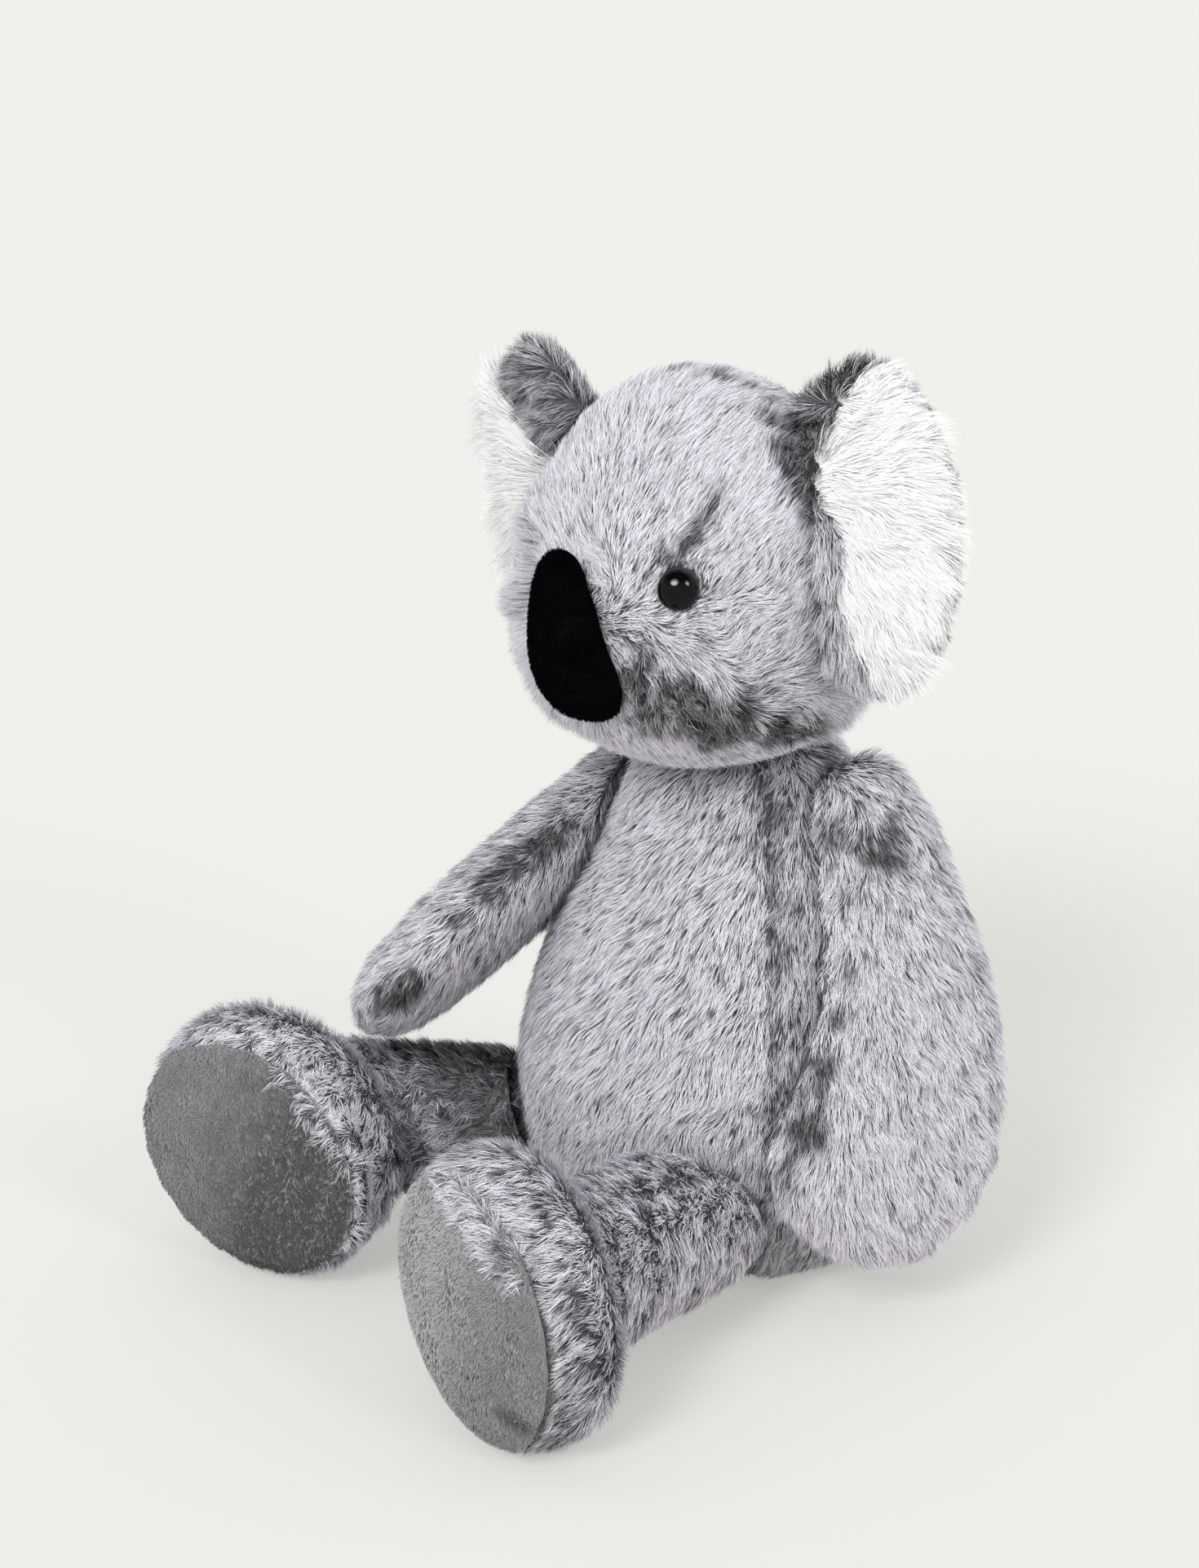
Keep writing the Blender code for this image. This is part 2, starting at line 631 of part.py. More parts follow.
def make_arm(side_name, side, leaves_deg, arrives_deg, twist_deg):
    """A flat mitten arm sewn into the side of the body."""
    place, out = surface_point(BODY_LINE, BODY_STATIONS, SHOULDER_UP_SHARE, SHOULDER_ROUND_DEG, side)
    shoulder = place + out * SHOULDER_OUT
    leaves, arrives = down_way(*leaves_deg, side), down_way(*arrives_deg, side)
    twist = math.radians(twist_deg)
    face = LEFT * side * math.cos(twist) + swing_axis(leaves, LEFT * side) * math.sin(twist)
    line = Line(ARM_LENGTH, leaves, arrives, face.cross(leaves)).through(shoulder, ARM_ROOT_SHARE)
    axis = swing_axis(line.point(1.0) - shoulder, LEFT * side)
    stations = scaled(ARM_SHARES, ARM_HALF_WIDTH, ARM_HALF_THICKNESS, ARM_HALF_THICKNESS)
    make_limb(f"arm_{side_name}", line, stations, ARM_HINGE_SHARE, axis, ARM_LIFT_DEG)


def make_leg(side_name, side, leaves_deg, arrives_deg, toe_in_deg):
    """A tube leg that ends in an upright oval foot standing on its heel, with a velour sole."""
    lean = math.radians(toe_in_deg)
    toe = UP * math.cos(lean) - LEFT * side * math.sin(lean)
    half_height = math.hypot(FOOT_HALF_LENGTH * math.cos(lean), FOOT_HALF_WIDTH * math.sin(lean))
    hip = LEFT * side * HIP_APART + FRONT * HIP_FORWARD + UP * HIP_UP

    def line_at(rise_deg):
        leaves = ahead_way(leaves_deg, rise_deg, side)
        line = Line(LEG_LENGTH, leaves, ahead_way(arrives_deg, 0.0, side), toe, LEG_BEND_POWER)
        return line.through(hip, LEG_ROOT_SHARE)

    stands = half_height - FLAT_DEPTH
    rise = halve(*LEG_RISE_LIMITS_DEG, lambda degrees: line_at(degrees).point(FOOT_SHARE).z < stands)
    line = line_at(rise)
    stations = []
    for along, tube, foot in LEG_SHARES:
        radius = LEG_RADIUS * tube * (1 - foot)
        half_length = radius + FOOT_HALF_LENGTH * tube * foot
        half_width = radius + FOOT_HALF_WIDTH * tube * foot
        stations.append((along, half_length, half_width, half_width))
    axis = swing_axis(line.point(1.0) - hip, -UP)
    holder = make_limb(f"leg_{side_name}", line, stations, LEG_ROOT_SHARE, axis, LEG_DROP_DEG, 0.0)
    foot = cutter(f"cut_leg_{side_name}", grown(form(line, stations, LIMB_COUNTS), CLEARANCE))
    make_sole(side_name, line, toe, foot, holder)


def make_sole(side_name, line, toe, foot, holder):
    """A crowned oval of velour over the end of the foot, which cuts away its back."""
    way = line.way(1.0)
    sole_line = Line(SOLE_WRAP + SOLE_CROWN, way, way, toe).through(line.point(1.0) - way * SOLE_WRAP)
    stations = [(along, size * FOOT_HALF_LENGTH, size * FOOT_HALF_WIDTH, size * FOOT_HALF_WIDTH)
                for along, size in SOLE_SHARES]
    piece(f"sole_{side_name}", form(sole_line, stations, SOLE_COUNTS), "sole_velour", holder, [foot])


def main():
    for old in list(bpy.data.objects):
        bpy.data.objects.remove(old)
    make_body()
    make_head(joint_at("neck_joint", UP * (BODY_HEIGHT - HEAD_SEAT_DEPTH)))
    make_arm("left", 1, ARM_LEFT_LEAVES_DEG, ARM_LEFT_ARRIVES_DEG, ARM_LEFT_TWIST_DEG)
    make_arm("right", -1, ARM_RIGHT_LEAVES_DEG, ARM_RIGHT_ARRIVES_DEG, ARM_RIGHT_TWIST_DEG)
    make_leg("left", 1, LEG_LEFT_LEAVES_DEG, LEG_LEFT_ARRIVES_DEG, LEG_LEFT_TOE_IN_DEG)
    make_leg("right", -1, LEG_RIGHT_LEAVES_DEG, LEG_RIGHT_ARRIVES_DEG, LEG_RIGHT_TOE_IN_DEG)


main()
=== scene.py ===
"""The looks of the plush koala: fur, velour soles and nose, glossy eyes, studio floor, lights and camera."""

import json
import math

import bmesh
import bpy
import numpy as np
from mathutils import Matrix, Vector
from mathutils.bvhtree import BVHTree
from mathutils.kdtree import KDTree


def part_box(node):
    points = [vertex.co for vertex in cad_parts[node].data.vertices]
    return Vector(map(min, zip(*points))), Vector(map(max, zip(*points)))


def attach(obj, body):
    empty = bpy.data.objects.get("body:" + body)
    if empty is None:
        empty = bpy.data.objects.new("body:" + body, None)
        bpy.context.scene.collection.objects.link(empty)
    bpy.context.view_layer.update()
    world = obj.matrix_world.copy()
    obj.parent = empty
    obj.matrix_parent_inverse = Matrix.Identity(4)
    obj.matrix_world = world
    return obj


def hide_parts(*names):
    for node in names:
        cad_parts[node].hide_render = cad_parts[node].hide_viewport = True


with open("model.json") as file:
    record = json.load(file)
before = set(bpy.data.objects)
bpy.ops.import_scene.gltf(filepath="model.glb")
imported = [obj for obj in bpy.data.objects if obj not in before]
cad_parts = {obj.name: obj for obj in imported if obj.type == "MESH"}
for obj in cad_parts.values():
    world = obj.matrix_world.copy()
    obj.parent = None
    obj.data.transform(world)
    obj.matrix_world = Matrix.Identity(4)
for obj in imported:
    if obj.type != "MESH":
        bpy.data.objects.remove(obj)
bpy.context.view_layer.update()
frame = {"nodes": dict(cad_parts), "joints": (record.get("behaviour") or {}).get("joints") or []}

SEED = 4127
MM = 0.001
MAX_STRANDS = 38000        # in one piece, five triangles each
LEVELS = np.array([0.0, 0.36, 0.72, 1.0])
WIDTHS = np.array([1.0, 0.92, 0.62])
UV_NAME = "OFBake"         # u is a strand's tone, v runs from root to tip

BACKGROUND = (0.871, 0.863, 0.831)
CAMERA_PLACE = Vector((0.88732, -0.74455, 0.59019))
CAMERA_YAW = math.radians(52.307)
CAMERA_PITCH = math.radians(20.587)
CAMERA_LENS = 88.0998
FORWARD = Vector((-math.sin(CAMERA_YAW) * math.cos(CAMERA_PITCH),
                  math.cos(CAMERA_YAW) * math.cos(CAMERA_PITCH), -math.sin(CAMERA_PITCH)))
RIGHT = FORWARD.cross(Vector((0, 0, 1))).normalized()
CAMERA_UP = RIGHT.cross(FORWARD)

HEAD_MIDDLE = np.array([0.0, -0.019, 0.2335])
HEAD_TURN = math.radians(6.5)
HEAD_AHEAD = np.array([math.sin(HEAD_TURN), -math.cos(HEAD_TURN), 0.0])
HEAD_LEFT = np.array([math.cos(HEAD_TURN), math.sin(HEAD_TURN), 0.0])
DOWN = np.array([0.0, 0.0, -1.0])
SWEEP = np.array([-0.61, -0.79, 0.0])     # the way the pile is brushed across the front

# Each skin: the voxel it is remeshed with, rounds of smoothing, and how deep the pile is rooted
SKIN_SHAPES = {
    "body": (2.2 * MM, 8, 3.0 * MM), "head": (2.0 * MM, 8, 3.0 * MM), "limb": (1.8 * MM, 6, 3.0 * MM),
    "sole": (0.9 * MM, 6, 0.6 * MM), "nose": (0.8 * MM, 6, 0.3 * MM), "ear": (1.5 * MM, 6, 1.6 * MM)}
# Roots tried on each surface; some are left out where no pile grows
STRANDS = {
    "body": 165000, "head": 165000, "bridge": 460000, "arm": 62000, "leg": 74000, "sole": 46000,
    "sole_turn": 200000, "comb": 22000, "nose": 16000, "ear_white": 46000, "ear_grey": 30000}
PILE = {                    # how long each kind of pile is
    "body": 6.6 * MM, "head": 6.4 * MM, "bridge": 10.2 * MM, "arm": 6.8 * MM, "leg": 7.2 * MM, "comb": 5.2 * MM,
    "sole": 1.6 * MM, "nose": 1.1 * MM, "ear_grey": 8.0 * MM}
EAR_PILE = {"left": 11.5, "right": 17.0}     # the white pile, in millimetres
PILE_WIDTH = 0.185 * MM
VELOUR_WIDTH = 0.26 * MM
EYE_CLEAR = (5.7 * MM, 6.5 * MM)             # from an eye's axis: no pile, and all of it
NOSE_CLEAR = (0.5 * MM, 1.2 * MM)            # the same from the nose's surface
OVER_FLOOR = 0.4 * MM                        # no strand reaches lower


# Numbers over many points at once

def unit(vectors):
    return vectors / np.maximum(np.linalg.norm(vectors, axis=-1, keepdims=True), 1e-12)


def dot(a, b):
    return np.sum(a * b, axis=-1)


def step(low, high, values):
    """0 under low, 1 over high and smooth between them; low may be the larger."""
    share = np.clip((values - low) / (high - low), 0.0, 1.0)
    return share * share * (3 - 2 * share)


def mm_step(low, high, values):
    return step(low * MM, high * MM, values)


def distance(points, place):
    return np.linalg.norm(points - place, axis=1)


def field(points, size, seed):
    """A smooth random value, about -1 to 1, whose features are about so many millimetres large."""
    rng = np.random.default_rng(SEED + seed)
    total = np.zeros(len(points))
    for octave in range(3):
        for _ in range(5):
            way = unit(rng.normal(size=3)) * (2 * math.pi / (size * MM)) * (1.7 ** octave) * rng.uniform(0.7, 1.3)
            total += np.sin(points @ way + rng.uniform(0, 2 * math.pi)) * 0.6 ** octave
    return np.clip(total / 3.2, -1.0, 1.0)


def spots(points, table):
    """The sum of soft round marks: each has its place and reach in millimetres, and how strong it is."""
    total = np.zeros(len(points))
    for place, reach, amount in table:
        total += amount * step(reach * MM, reach * 0.25 * MM, distance(points, np.array(place) / 1000))
    return total


def field3(points, size, seed):
    return np.stack([field(points, size, seed + part) for part in (11, 12, 13)], axis=-1)


# Surfaces

def finish_mesh(bm, mesh):
    bm.to_mesh(mesh)
    bm.free()
    return mesh


def link(name, mesh):
    made = bpy.data.objects.new(name, mesh)
    bpy.context.scene.collection.objects.link(made)
    return made


def baked(obj):
    """The object with its modifiers applied."""
    depsgraph = bpy.context.evaluated_depsgraph_get()
    mesh = bpy.data.meshes.new_from_object(obj.evaluated_get(depsgraph), depsgraph=depsgraph)
    obj.modifiers.clear()
    obj.data = mesh
    return obj


def largest_island(bm):
    left = set(bm.verts)
    best = []
    while left:
        start = left.pop()
        island, edge = [start], [start]
        while edge:
            vert = edge.pop()
            for link_edge in vert.link_edges:
                other = link_edge.other_vert(vert)
                if other in left:
                    left.remove(other)
                    island.append(other)
                    edge.append(other)
        if len(island) > len(best):
            best = island
    keep = set(best)
    bmesh.ops.delete(bm, geom=[vert for vert in bm.verts if vert not in keep], context="VERTS")


def surface(name, nodes, kind):
    """One smooth outer surface round these CAD nodes, drawn in to where the pile is rooted."""
    voxel, smoothing, inset = SKIN_SHAPES[kind]
    bm = bmesh.new()
    for node in nodes:
        bm.from_mesh(frame["nodes"][node].data)
    made = link(name, finish_mesh(bm, bpy.data.meshes.new(name)))
    remesh = made.modifiers.new("remesh", "REMESH")
    remesh.mode = "VOXEL"
    remesh.voxel_size = voxel
    smooth = made.modifiers.new("smooth", "SMOOTH")
    smooth.factor = 0.5
    smooth.iterations = smoothing
    bpy.context.view_layer.update()
    baked(made)
    bm = bmesh.new()
    bm.from_mesh(made.data)
    largest_island(bm)
    bm.normal_update()
    for vert in bm.verts:
        vert.co -= vert.normal * inset
    bmesh.ops.smooth_vert(bm, verts=bm.verts, factor=0.5, use_axis_x=True, use_axis_y=True, use_axis_z=True)
    finish_mesh(bm, made.data)
    made.data.materials.clear()
    made.data.shade_smooth()
    return made


def arrays(obj):
    """Corner positions and normals of an object's triangles, with their middles and areas."""
    mesh = obj.data
    mesh.calc_loop_triangles()
    places = np.empty(len(mesh.vertices) * 3)
    normals = np.empty(len(mesh.vertices) * 3)
    corners = np.empty(len(mesh.loop_triangles) * 3, dtype=np.int32)
    mesh.vertices.foreach_get("co", places)
    mesh.vertex_normals.foreach_get("vector", normals)
    mesh.loop_triangles.foreach_get("vertices", corners)
    places, normals, corners = places.reshape(-1, 3), normals.reshape(-1, 3), corners.reshape(-1, 3)
    a, b, c = (places[corners[:, part]] for part in range(3))
    areas = np.linalg.norm(np.cross(b - a, c - a), axis=1) / 2
    return places, normals, corners, areas


def move_corners(obj, places):
    obj.data.vertices.foreach_set("co", places.reshape(-1))
    obj.data.update()


# Fur

def roots_on(obj, count, keep, rng):
    """Random places on a surface, and the way out of it there. keep is the share kept at each place."""
    places, normals, corners, areas = arrays(obj)
    chosen = rng.choice(len(corners), size=count, p=areas / areas.sum())
    a, b = rng.random(count), rng.random(count)
    over = a + b > 1
    a[over], b[over] = 1 - a[over], 1 - b[over]
    weights = np.stack([1 - a - b, a, b], axis=1)[:, :, None]
    points = (places[corners[chosen]] * weights).sum(axis=1)
    out = unit((normals[corners[chosen]] * weights).sum(axis=1))
    kept = rng.random(count) < keep(points, out)
    return points[kept], out[kept]


def clumped(points, size, rng):
    """For each point, the number of the point at the middle of its tuft."""
    count = max(1, len(points) // size)
    middles = rng.choice(len(points), size=count, replace=False)
    tree = KDTree(count)
    for place, middle in enumerate(middles):
        tree.insert(points[middle], place)
    tree.balance()
    return np.array([middles[tree.find(point)[1]] for point in points])


def grow(name, obj, body, slot, count, look, seed, clump=5, width=PILE_WIDTH, floor=None):
    """Fur on a surface, as one or more pieces of ribbon strands.

    look(points, out) gives each root's share kept, flow, length, lean at root and tip in degrees, and tone.
    """
    rng = np.random.default_rng(SEED + seed)
    points, out = roots_on(obj, count, lambda p, n: look(p, n)["keep"], rng)
    here = look(points, out)
    total = len(points)
    open_pile = step(0.62, 0.15, here["tone"]) * here.get("rise", 14)
    lean = (here["lean"][0] - 0.7 * open_pile, here["lean"][1] - open_pile)
    flow = here["flow"] - out * dot(here["flow"], out)[:, None]
    flow = unit(flow + 1e-9)
    side = np.cross(out, flow)
    sway = rng.normal(0, here.get("sway", 0.22), total) + field(points, 14, seed + 5) * 0.30
    flow = flow * np.cos(sway)[:, None] + side * np.sin(sway)[:, None]
    length = here["length"] * rng.uniform(0.72, 1.12, total)
    lean_root = np.radians(lean[0] + rng.normal(0, 7, total))
    lean_tip = np.radians(np.clip(lean[1] + rng.normal(0, 7, total), 5, 96))
    middle = clumped(points, clump, rng)
    curve = np.zeros((total, len(LEVELS), 3))
    for level in range(1, len(LEVELS)):
        share = (LEVELS[level] + LEVELS[level - 1]) / 2
        lean = lean_root + (lean_tip - lean_root) * share ** 0.8
        way = out * np.cos(lean)[:, None] + flow * np.sin(lean)[:, None]
        curve[:, level] = curve[:, level - 1] + way * (length * (LEVELS[level] - LEVELS[level - 1]))[:, None]
    curl = field3(points[middle], 5, seed + 40)[:, None, :] * (LEVELS ** 1.5)[None, :, None]
    tuft = points[middle][:, None, :] + curve[middle]
    free = points[:, None, :] + curve
    hold = (here.get("tuft", 0.48) * rng.uniform(0.6, 1.15, total))[:, None] * LEVELS[None, :] ** 1.3
    line = free + (tuft - free) * np.clip(hold, 0, 0.92)[:, :, None]
    line = line + curl * (length * here.get("curl", 0.07))[:, None, None]
    if floor is not None:
        line[:, :, 2] = np.maximum(line[:, :, 2], floor)
    ways = unit(np.diff(line, axis=1))
    ways = np.concatenate([ways, ways[:, -1:]], axis=1)
    roll = rng.uniform(-1.1, 1.1, total)
    face = out * np.cos(roll)[:, None] + np.cross(out, ways[:, 1]) * np.sin(roll)[:, None]
    across = unit(np.cross(ways[:, :3], face[:, None, :]))
    half = (width / 2 * rng.uniform(0.7, 1.25, total))[:, None] * WIDTHS[None, :]
    left = line[:, :3] - across * half[:, :, None]
    right = line[:, :3] + across * half[:, :, None]
    # Some whole tufts are coloured dark: painted shade, standing for the shadows in the partings between tufts
    shaded_tuft = (rng.random(total) < here.get("flecks", 0.0))[middle]
    mixed = here.get("mixed", 1.0)
    tone = here["tone"] + rng.normal(0, 0.11, total) * mixed + rng.normal(0, 0.13, total)[middle] * mixed
    tone = tone - shaded_tuft * rng.uniform(0.35, 0.75, total)
    tone = np.clip(tone + (step(0.12, 0.80, tone) - tone) * 0.75 * mixed, 0.012, 0.988)
    shade = unit(out * 0.75 + face * 0.45 + ways[:, 1] * 0.15)
    verts = np.empty((total, 7, 3), dtype=np.float32)
    verts[:, 0:6:2] = left
    verts[:, 1:6:2] = right
    verts[:, 6] = line[:, 3]
    made = []
    for part, start in enumerate(range(0, total, MAX_STRANDS)):
        some = slice(start, start + MAX_STRANDS)
        piece = strands(f"{name}_{part + 1}", verts[some], tone[some], shade[some])
        piece.data.materials.append(PILES[slot])
        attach(piece, body)
        made.append(piece)
    print(name, total, "strands in", len(made))
    return made


FACES = ((0, 1, 3, 2), (2, 3, 5, 4), (4, 5, 6))


def strands(name, verts, tone, shade):
    """One mesh of ribbons, seven corners each, shaded mostly as the surface under them."""
    count = len(verts)
    mesh = bpy.data.meshes.new(name)
    mesh.vertices.add(count * 7)
    mesh.vertices.foreach_set("co", verts.reshape(-1))
    pattern = np.array([corner for face in FACES for corner in face], dtype=np.int32)
    loops = (np.arange(count, dtype=np.int32)[:, None] * 7 + pattern[None, :]).reshape(-1)
    starts = np.cumsum([0] + [len(face) for face in FACES])[:-1]
    starts = (np.arange(count, dtype=np.int32)[:, None] * len(pattern) + starts[None, :]).reshape(-1)
    mesh.loops.add(len(loops))
    mesh.loops.foreach_set("vertex_index", loops)
    mesh.polygons.add(count * len(FACES))
    mesh.polygons.foreach_set("loop_start", starts.astype(np.int32))
    layer = mesh.uv_layers.new(name=UV_NAME)
    offsets = np.array([-1, 1, -1, 1, -1, 1, 0]) * 0.004
    along = np.array([0, 0, 0.36, 0.36, 0.72, 0.72, 1.0]) * 0.97 + 0.015
    uv = np.empty((count, 7, 2), dtype=np.float32)
    uv[:, :, 0] = np.clip(tone[:, None] + offsets[None, :], 0.004, 0.996)
    uv[:, :, 1] = along[None, :]
    layer.data.foreach_set("uv", uv[:, pattern].reshape(-1))
    mesh.update()
    mesh.shade_smooth()
    normals = mesh.attributes.new("custom_normal", "FLOAT_VECTOR", "POINT")
    normals.data.foreach_set("vector", np.repeat(shade, 7, axis=0).astype(np.float32).reshape(-1))
    return link(name, mesh)


# Materials

def material(name, roughness, specular=0.5, sheen=0.0):
    made = bpy.data.materials.new(name)
    made.use_nodes = True
    shader = made.node_tree.nodes["Principled BSDF"]
    shader.inputs["Roughness"].default_value = roughness
    shader.inputs["Specular IOR Level"].default_value = specular
    shader.inputs["Sheen Weight"].default_value = sheen
    return made, made.node_tree, shader


def ramp(tree, stops, value):
    node = tree.nodes.new("ShaderNodeValToRGB")
    elements = node.color_ramp.elements
    while len(elements) < len(stops):
        elements.new(0.5)
    for element, (place, colour) in zip(elements, stops):
        element.position = place
        element.color = (*colour, 1.0)
    tree.links.new(value, node.inputs["Fac"])
    return node.outputs["Color"]


def noise(tree, scale, detail=2.0):
    """A smooth random value over the object."""
    made = tree.nodes.new("ShaderNodeTexNoise")
    made.inputs["Scale"].default_value = scale
    made.inputs["Detail"].default_value = detail
    tree.links.new(tree.nodes.new("ShaderNodeTexCoord").outputs["Object"], made.inputs["Vector"])
    return made.outputs["Fac"]


def grey(level, cool=1.045, green=0.974):
    return (level, level * green, level * cool)


def pile_material(name, dark, light, roughness=0.62, specular=0.25, sheen=0.0):
    """Colour along a strand, between a dark and a light kind of strand, from its own map."""
    made, tree, shader = material(name, roughness, specular, sheen)
    uv = tree.nodes.new("ShaderNodeUVMap")
    uv.uv_map = UV_NAME
    split = tree.nodes.new("ShaderNodeSeparateXYZ")
    tree.links.new(uv.outputs["UV"], split.inputs["Vector"])
    mix = tree.nodes.new("ShaderNodeMix")
    mix.data_type = "RGBA"
    tree.links.new(split.outputs["X"], mix.inputs["Factor"])
    tree.links.new(ramp(tree, dark, split.outputs["Y"]), mix.inputs["A"])
    tree.links.new(ramp(tree, light, split.outputs["Y"]), mix.inputs["B"])
    tree.links.new(mix.outputs["Result"], shader.inputs["Base Color"])
    return made


def cloth_material(name, low, high, scale, roughness=0.9, bump=0.2, specular=0.2):
    """Backing cloth under the pile: mottled, with a fine knit bump."""
    made, tree, shader = material(name, roughness, specular)
    mottle = ramp(tree, ((0.3, low), (0.7, high)), noise(tree, scale, 4.0))
    tree.links.new(mottle, shader.inputs["Base Color"])
    node = tree.nodes.new("ShaderNodeBump")
    node.inputs["Strength"].default_value = bump
    node.inputs["Distance"].default_value = 0.2 * MM
    tree.links.new(noise(tree, scale * 12), node.inputs["Height"])
    tree.links.new(node.outputs["Normal"], shader.inputs["Normal"])
    return made


def eye_material():
    made, tree, shader = material("eye_gloss", 0.07, 0.17)
    colour = ramp(tree, ((0.3, (0.001, 0.001, 0.0011)), (0.7, (0.002, 0.002, 0.0022))), noise(tree, 400.0))
    tree.links.new(colour, shader.inputs["Base Color"])
    return made


def white(level):
    return grey(level, 1.005, 0.995)


def velour(level):
    return grey(level, 1.0)


PILES = {
    "grey_fur": pile_material(
        "grey_pile",
        ((0.0, grey(0.010)), (0.50, grey(0.025)), (0.78, grey(0.12)), (1.0, grey(0.60))),
        ((0.0, grey(0.08)), (0.14, grey(0.42)), (0.32, grey(0.84)), (1.0, grey(0.95))), 0.6, 0.2),
    "white_fur": pile_material(
        "white_pile",
        ((0.0, white(0.90)), (0.4, white(0.95)), (1.0, white(0.97))),
        ((0.0, white(0.97)), (0.3, white(0.985)), (1.0, white(0.99))), roughness=0.7),
    "sole_velour": pile_material(
        "sole_pile",
        ((0.0, velour(0.05)), (0.5, velour(0.09)), (1.0, velour(0.12))),
        ((0.0, velour(0.30)), (0.5, velour(0.48)), (1.0, velour(0.59))), roughness=0.8),
    "nose_velour": pile_material(
        "nose_pile",
        ((0.0, (0.001, 0.001, 0.001)), (1.0, (0.002, 0.0025, 0.003))),
        ((0.0, (0.001, 0.001, 0.001)), (1.0, (0.006, 0.008, 0.010))), roughness=0.9, specular=0.0)}
FINISHES = {                # what is under the pile, and the eyes' plastic
    "grey_fur": cloth_material("grey_backing", grey(0.07), grey(0.12), 160.0),
    "white_fur": cloth_material("white_backing", white(0.90), white(0.97), 160.0),
    "sole_velour": cloth_material("sole_backing", velour(0.22), velour(0.25), 90.0),
    "nose_velour": cloth_material(
        "nose_backing", (0.001, 0.001, 0.001), (0.003, 0.0035, 0.004), 120.0, specular=0.0),
    "eye_plastic": eye_material()}
WASHER_PLASTIC = cloth_material("washer_plastic", (0.74, 0.74, 0.72), (0.82, 0.82, 0.80), 300.0, 0.5, 0.05)


def dress(obj, body, slot, nodes):
    obj.data.materials.append(FINISHES[slot])
    if nodes:
        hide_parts(*nodes)
    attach(obj, body)
    return obj


# Eyes

def eye_axis(side_name):
    """The crown of an eye and the way it looks, from its CAD solid."""
    mesh = frame["nodes"][f"eye_{side_name}"].data
    places = np.empty(len(mesh.vertices) * 3)
    mesh.vertices.foreach_get("co", places)
    places = places.reshape(-1, 3)
    low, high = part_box(f"eye_{side_name}")
    guess = unit((np.array(low) + np.array(high)) / 2 - HEAD_MIDDLE)
    far = places[np.argmax(places @ guess)]
    near = places[np.argmin(places @ guess)]
    way = unit(far - near)
    for _ in range(6):
        reach = places @ way
        crown = places[reach > reach.max() - 1e-5].mean(axis=0)
        end = places[reach < reach.min() + 1e-5].mean(axis=0)
        way = unit(crown - end)
    return crown, way


EYES = {side_name: eye_axis(side_name) for side_name in ("left", "right")}


def make_eye(side_name):
    """A moulded dome with its rim and post, turned finely."""
    crown, way = EYES[side_name]
    radius, dome = 6.25 * MM, 4.5 * MM
    outline = [(radius * math.cos(turn), -dome + dome * math.sin(turn))
               for turn in np.linspace(0, math.pi / 2, 20)]
    outline = [(0.0, -16.5 * MM), (1.6 * MM, -16.5 * MM), (2.0 * MM, -15.9 * MM), (2.0 * MM, -5.5 * MM),
               (5.9 * MM, -5.5 * MM), (6.2 * MM, -5.3 * MM)] + outline
    outline[-1] = (0.0, 0.0)
    bm = bmesh.new()
    axis = Vector(way)
    across = axis.orthogonal().normalized()
    verts = [bm.verts.new(Vector(crown) + across * r + axis * up) for r, up in outline]
    edges = [bm.edges.new(pair) for pair in zip(verts, verts[1:])]
    bmesh.ops.spin(bm, geom=verts + edges, cent=Vector(crown), axis=axis, angle=math.tau, steps=56)
    bmesh.ops.remove_doubles(bm, verts=bm.verts, dist=1e-6)
    bmesh.ops.recalc_face_normals(bm, faces=bm.faces)
    mesh = finish_mesh(bm, bpy.data.meshes.new(f"eye_{side_name}_dome"))
    mesh.shade_smooth()
    mesh.set_sharp_from_angle(angle=math.radians(50))
    made = link(f"eye_{side_name}_dome", mesh)
    dress(made, "head", "eye_plastic", [f"eye_{side_name}"])


# Main forms

def limb_nodes(name):
    return [f"{name}_skin", f"{name}_fill"]


SKINS = {}
SKINS["body"] = surface("body_hide", ["body_skin", "body_fill", "pellet_bag"], "body")
SKINS["head"] = surface("head_hide", ["head_skin", "head_fill"], "head")
for limb in ("arm_left", "arm_right", "leg_left", "leg_right"):
    SKINS[limb] = surface(f"{limb}_hide", limb_nodes(limb), "limb")
for side_name in ("left", "right"):
    SKINS[f"sole_{side_name}"] = surface(f"sole_{side_name}_hide", [f"sole_{side_name}"], "sole")
SKINS["nose"] = surface("nose_hide", ["nose"], "nose")


def shape_nose():
    """The photographed nose is narrow at its top and full at its lower left."""
    places = arrays(SKINS["nose"])[0]
    local = places - places.mean(axis=0)
    across, up = dot(local, HEAD_LEFT), local[:, 2]
    full = 1.4 * mm_step(4, -20, up) * mm_step(-4, 10, across)
    slim = mm_step(2, 22, up) * mm_step(-3, 8, across)
    moved = places + (HEAD_LEFT * 3.2 * MM - HEAD_AHEAD * 1.2 * MM) * full[:, None]
    moved = moved - HEAD_LEFT * (2.6 * MM * slim)[:, None]
    moved = moved + np.array([0, 0, 2.0 * MM]) * mm_step(8, 24, up)[:, None]
    move_corners(SKINS["nose"], moved)


shape_nose()


def middle_of(*nodes):
    corners = [np.array(corner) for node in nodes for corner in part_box(node)]
    return (np.min(corners, axis=0) + np.max(corners, axis=0)) / 2


NOSE_MIDDLE = middle_of("nose")
NOSE_TREE = BVHTree.FromPolygons([v.co[:] for v in SKINS["nose"].data.vertices],
                                 [p.vertices[:] for p in SKINS["nose"].data.polygons])


def eye_distance(points):
    """How far each point is from the nearer eye's axis."""
    best = np.full(len(points), 1.0)
    for crown, way in EYES.values():
        away = points - crown
        best = np.minimum(best, np.linalg.norm(away - way * dot(away, way)[:, None], axis=1)
                          + np.where(dot(away, way) < -0.03, 1.0, 0.0))
    return best


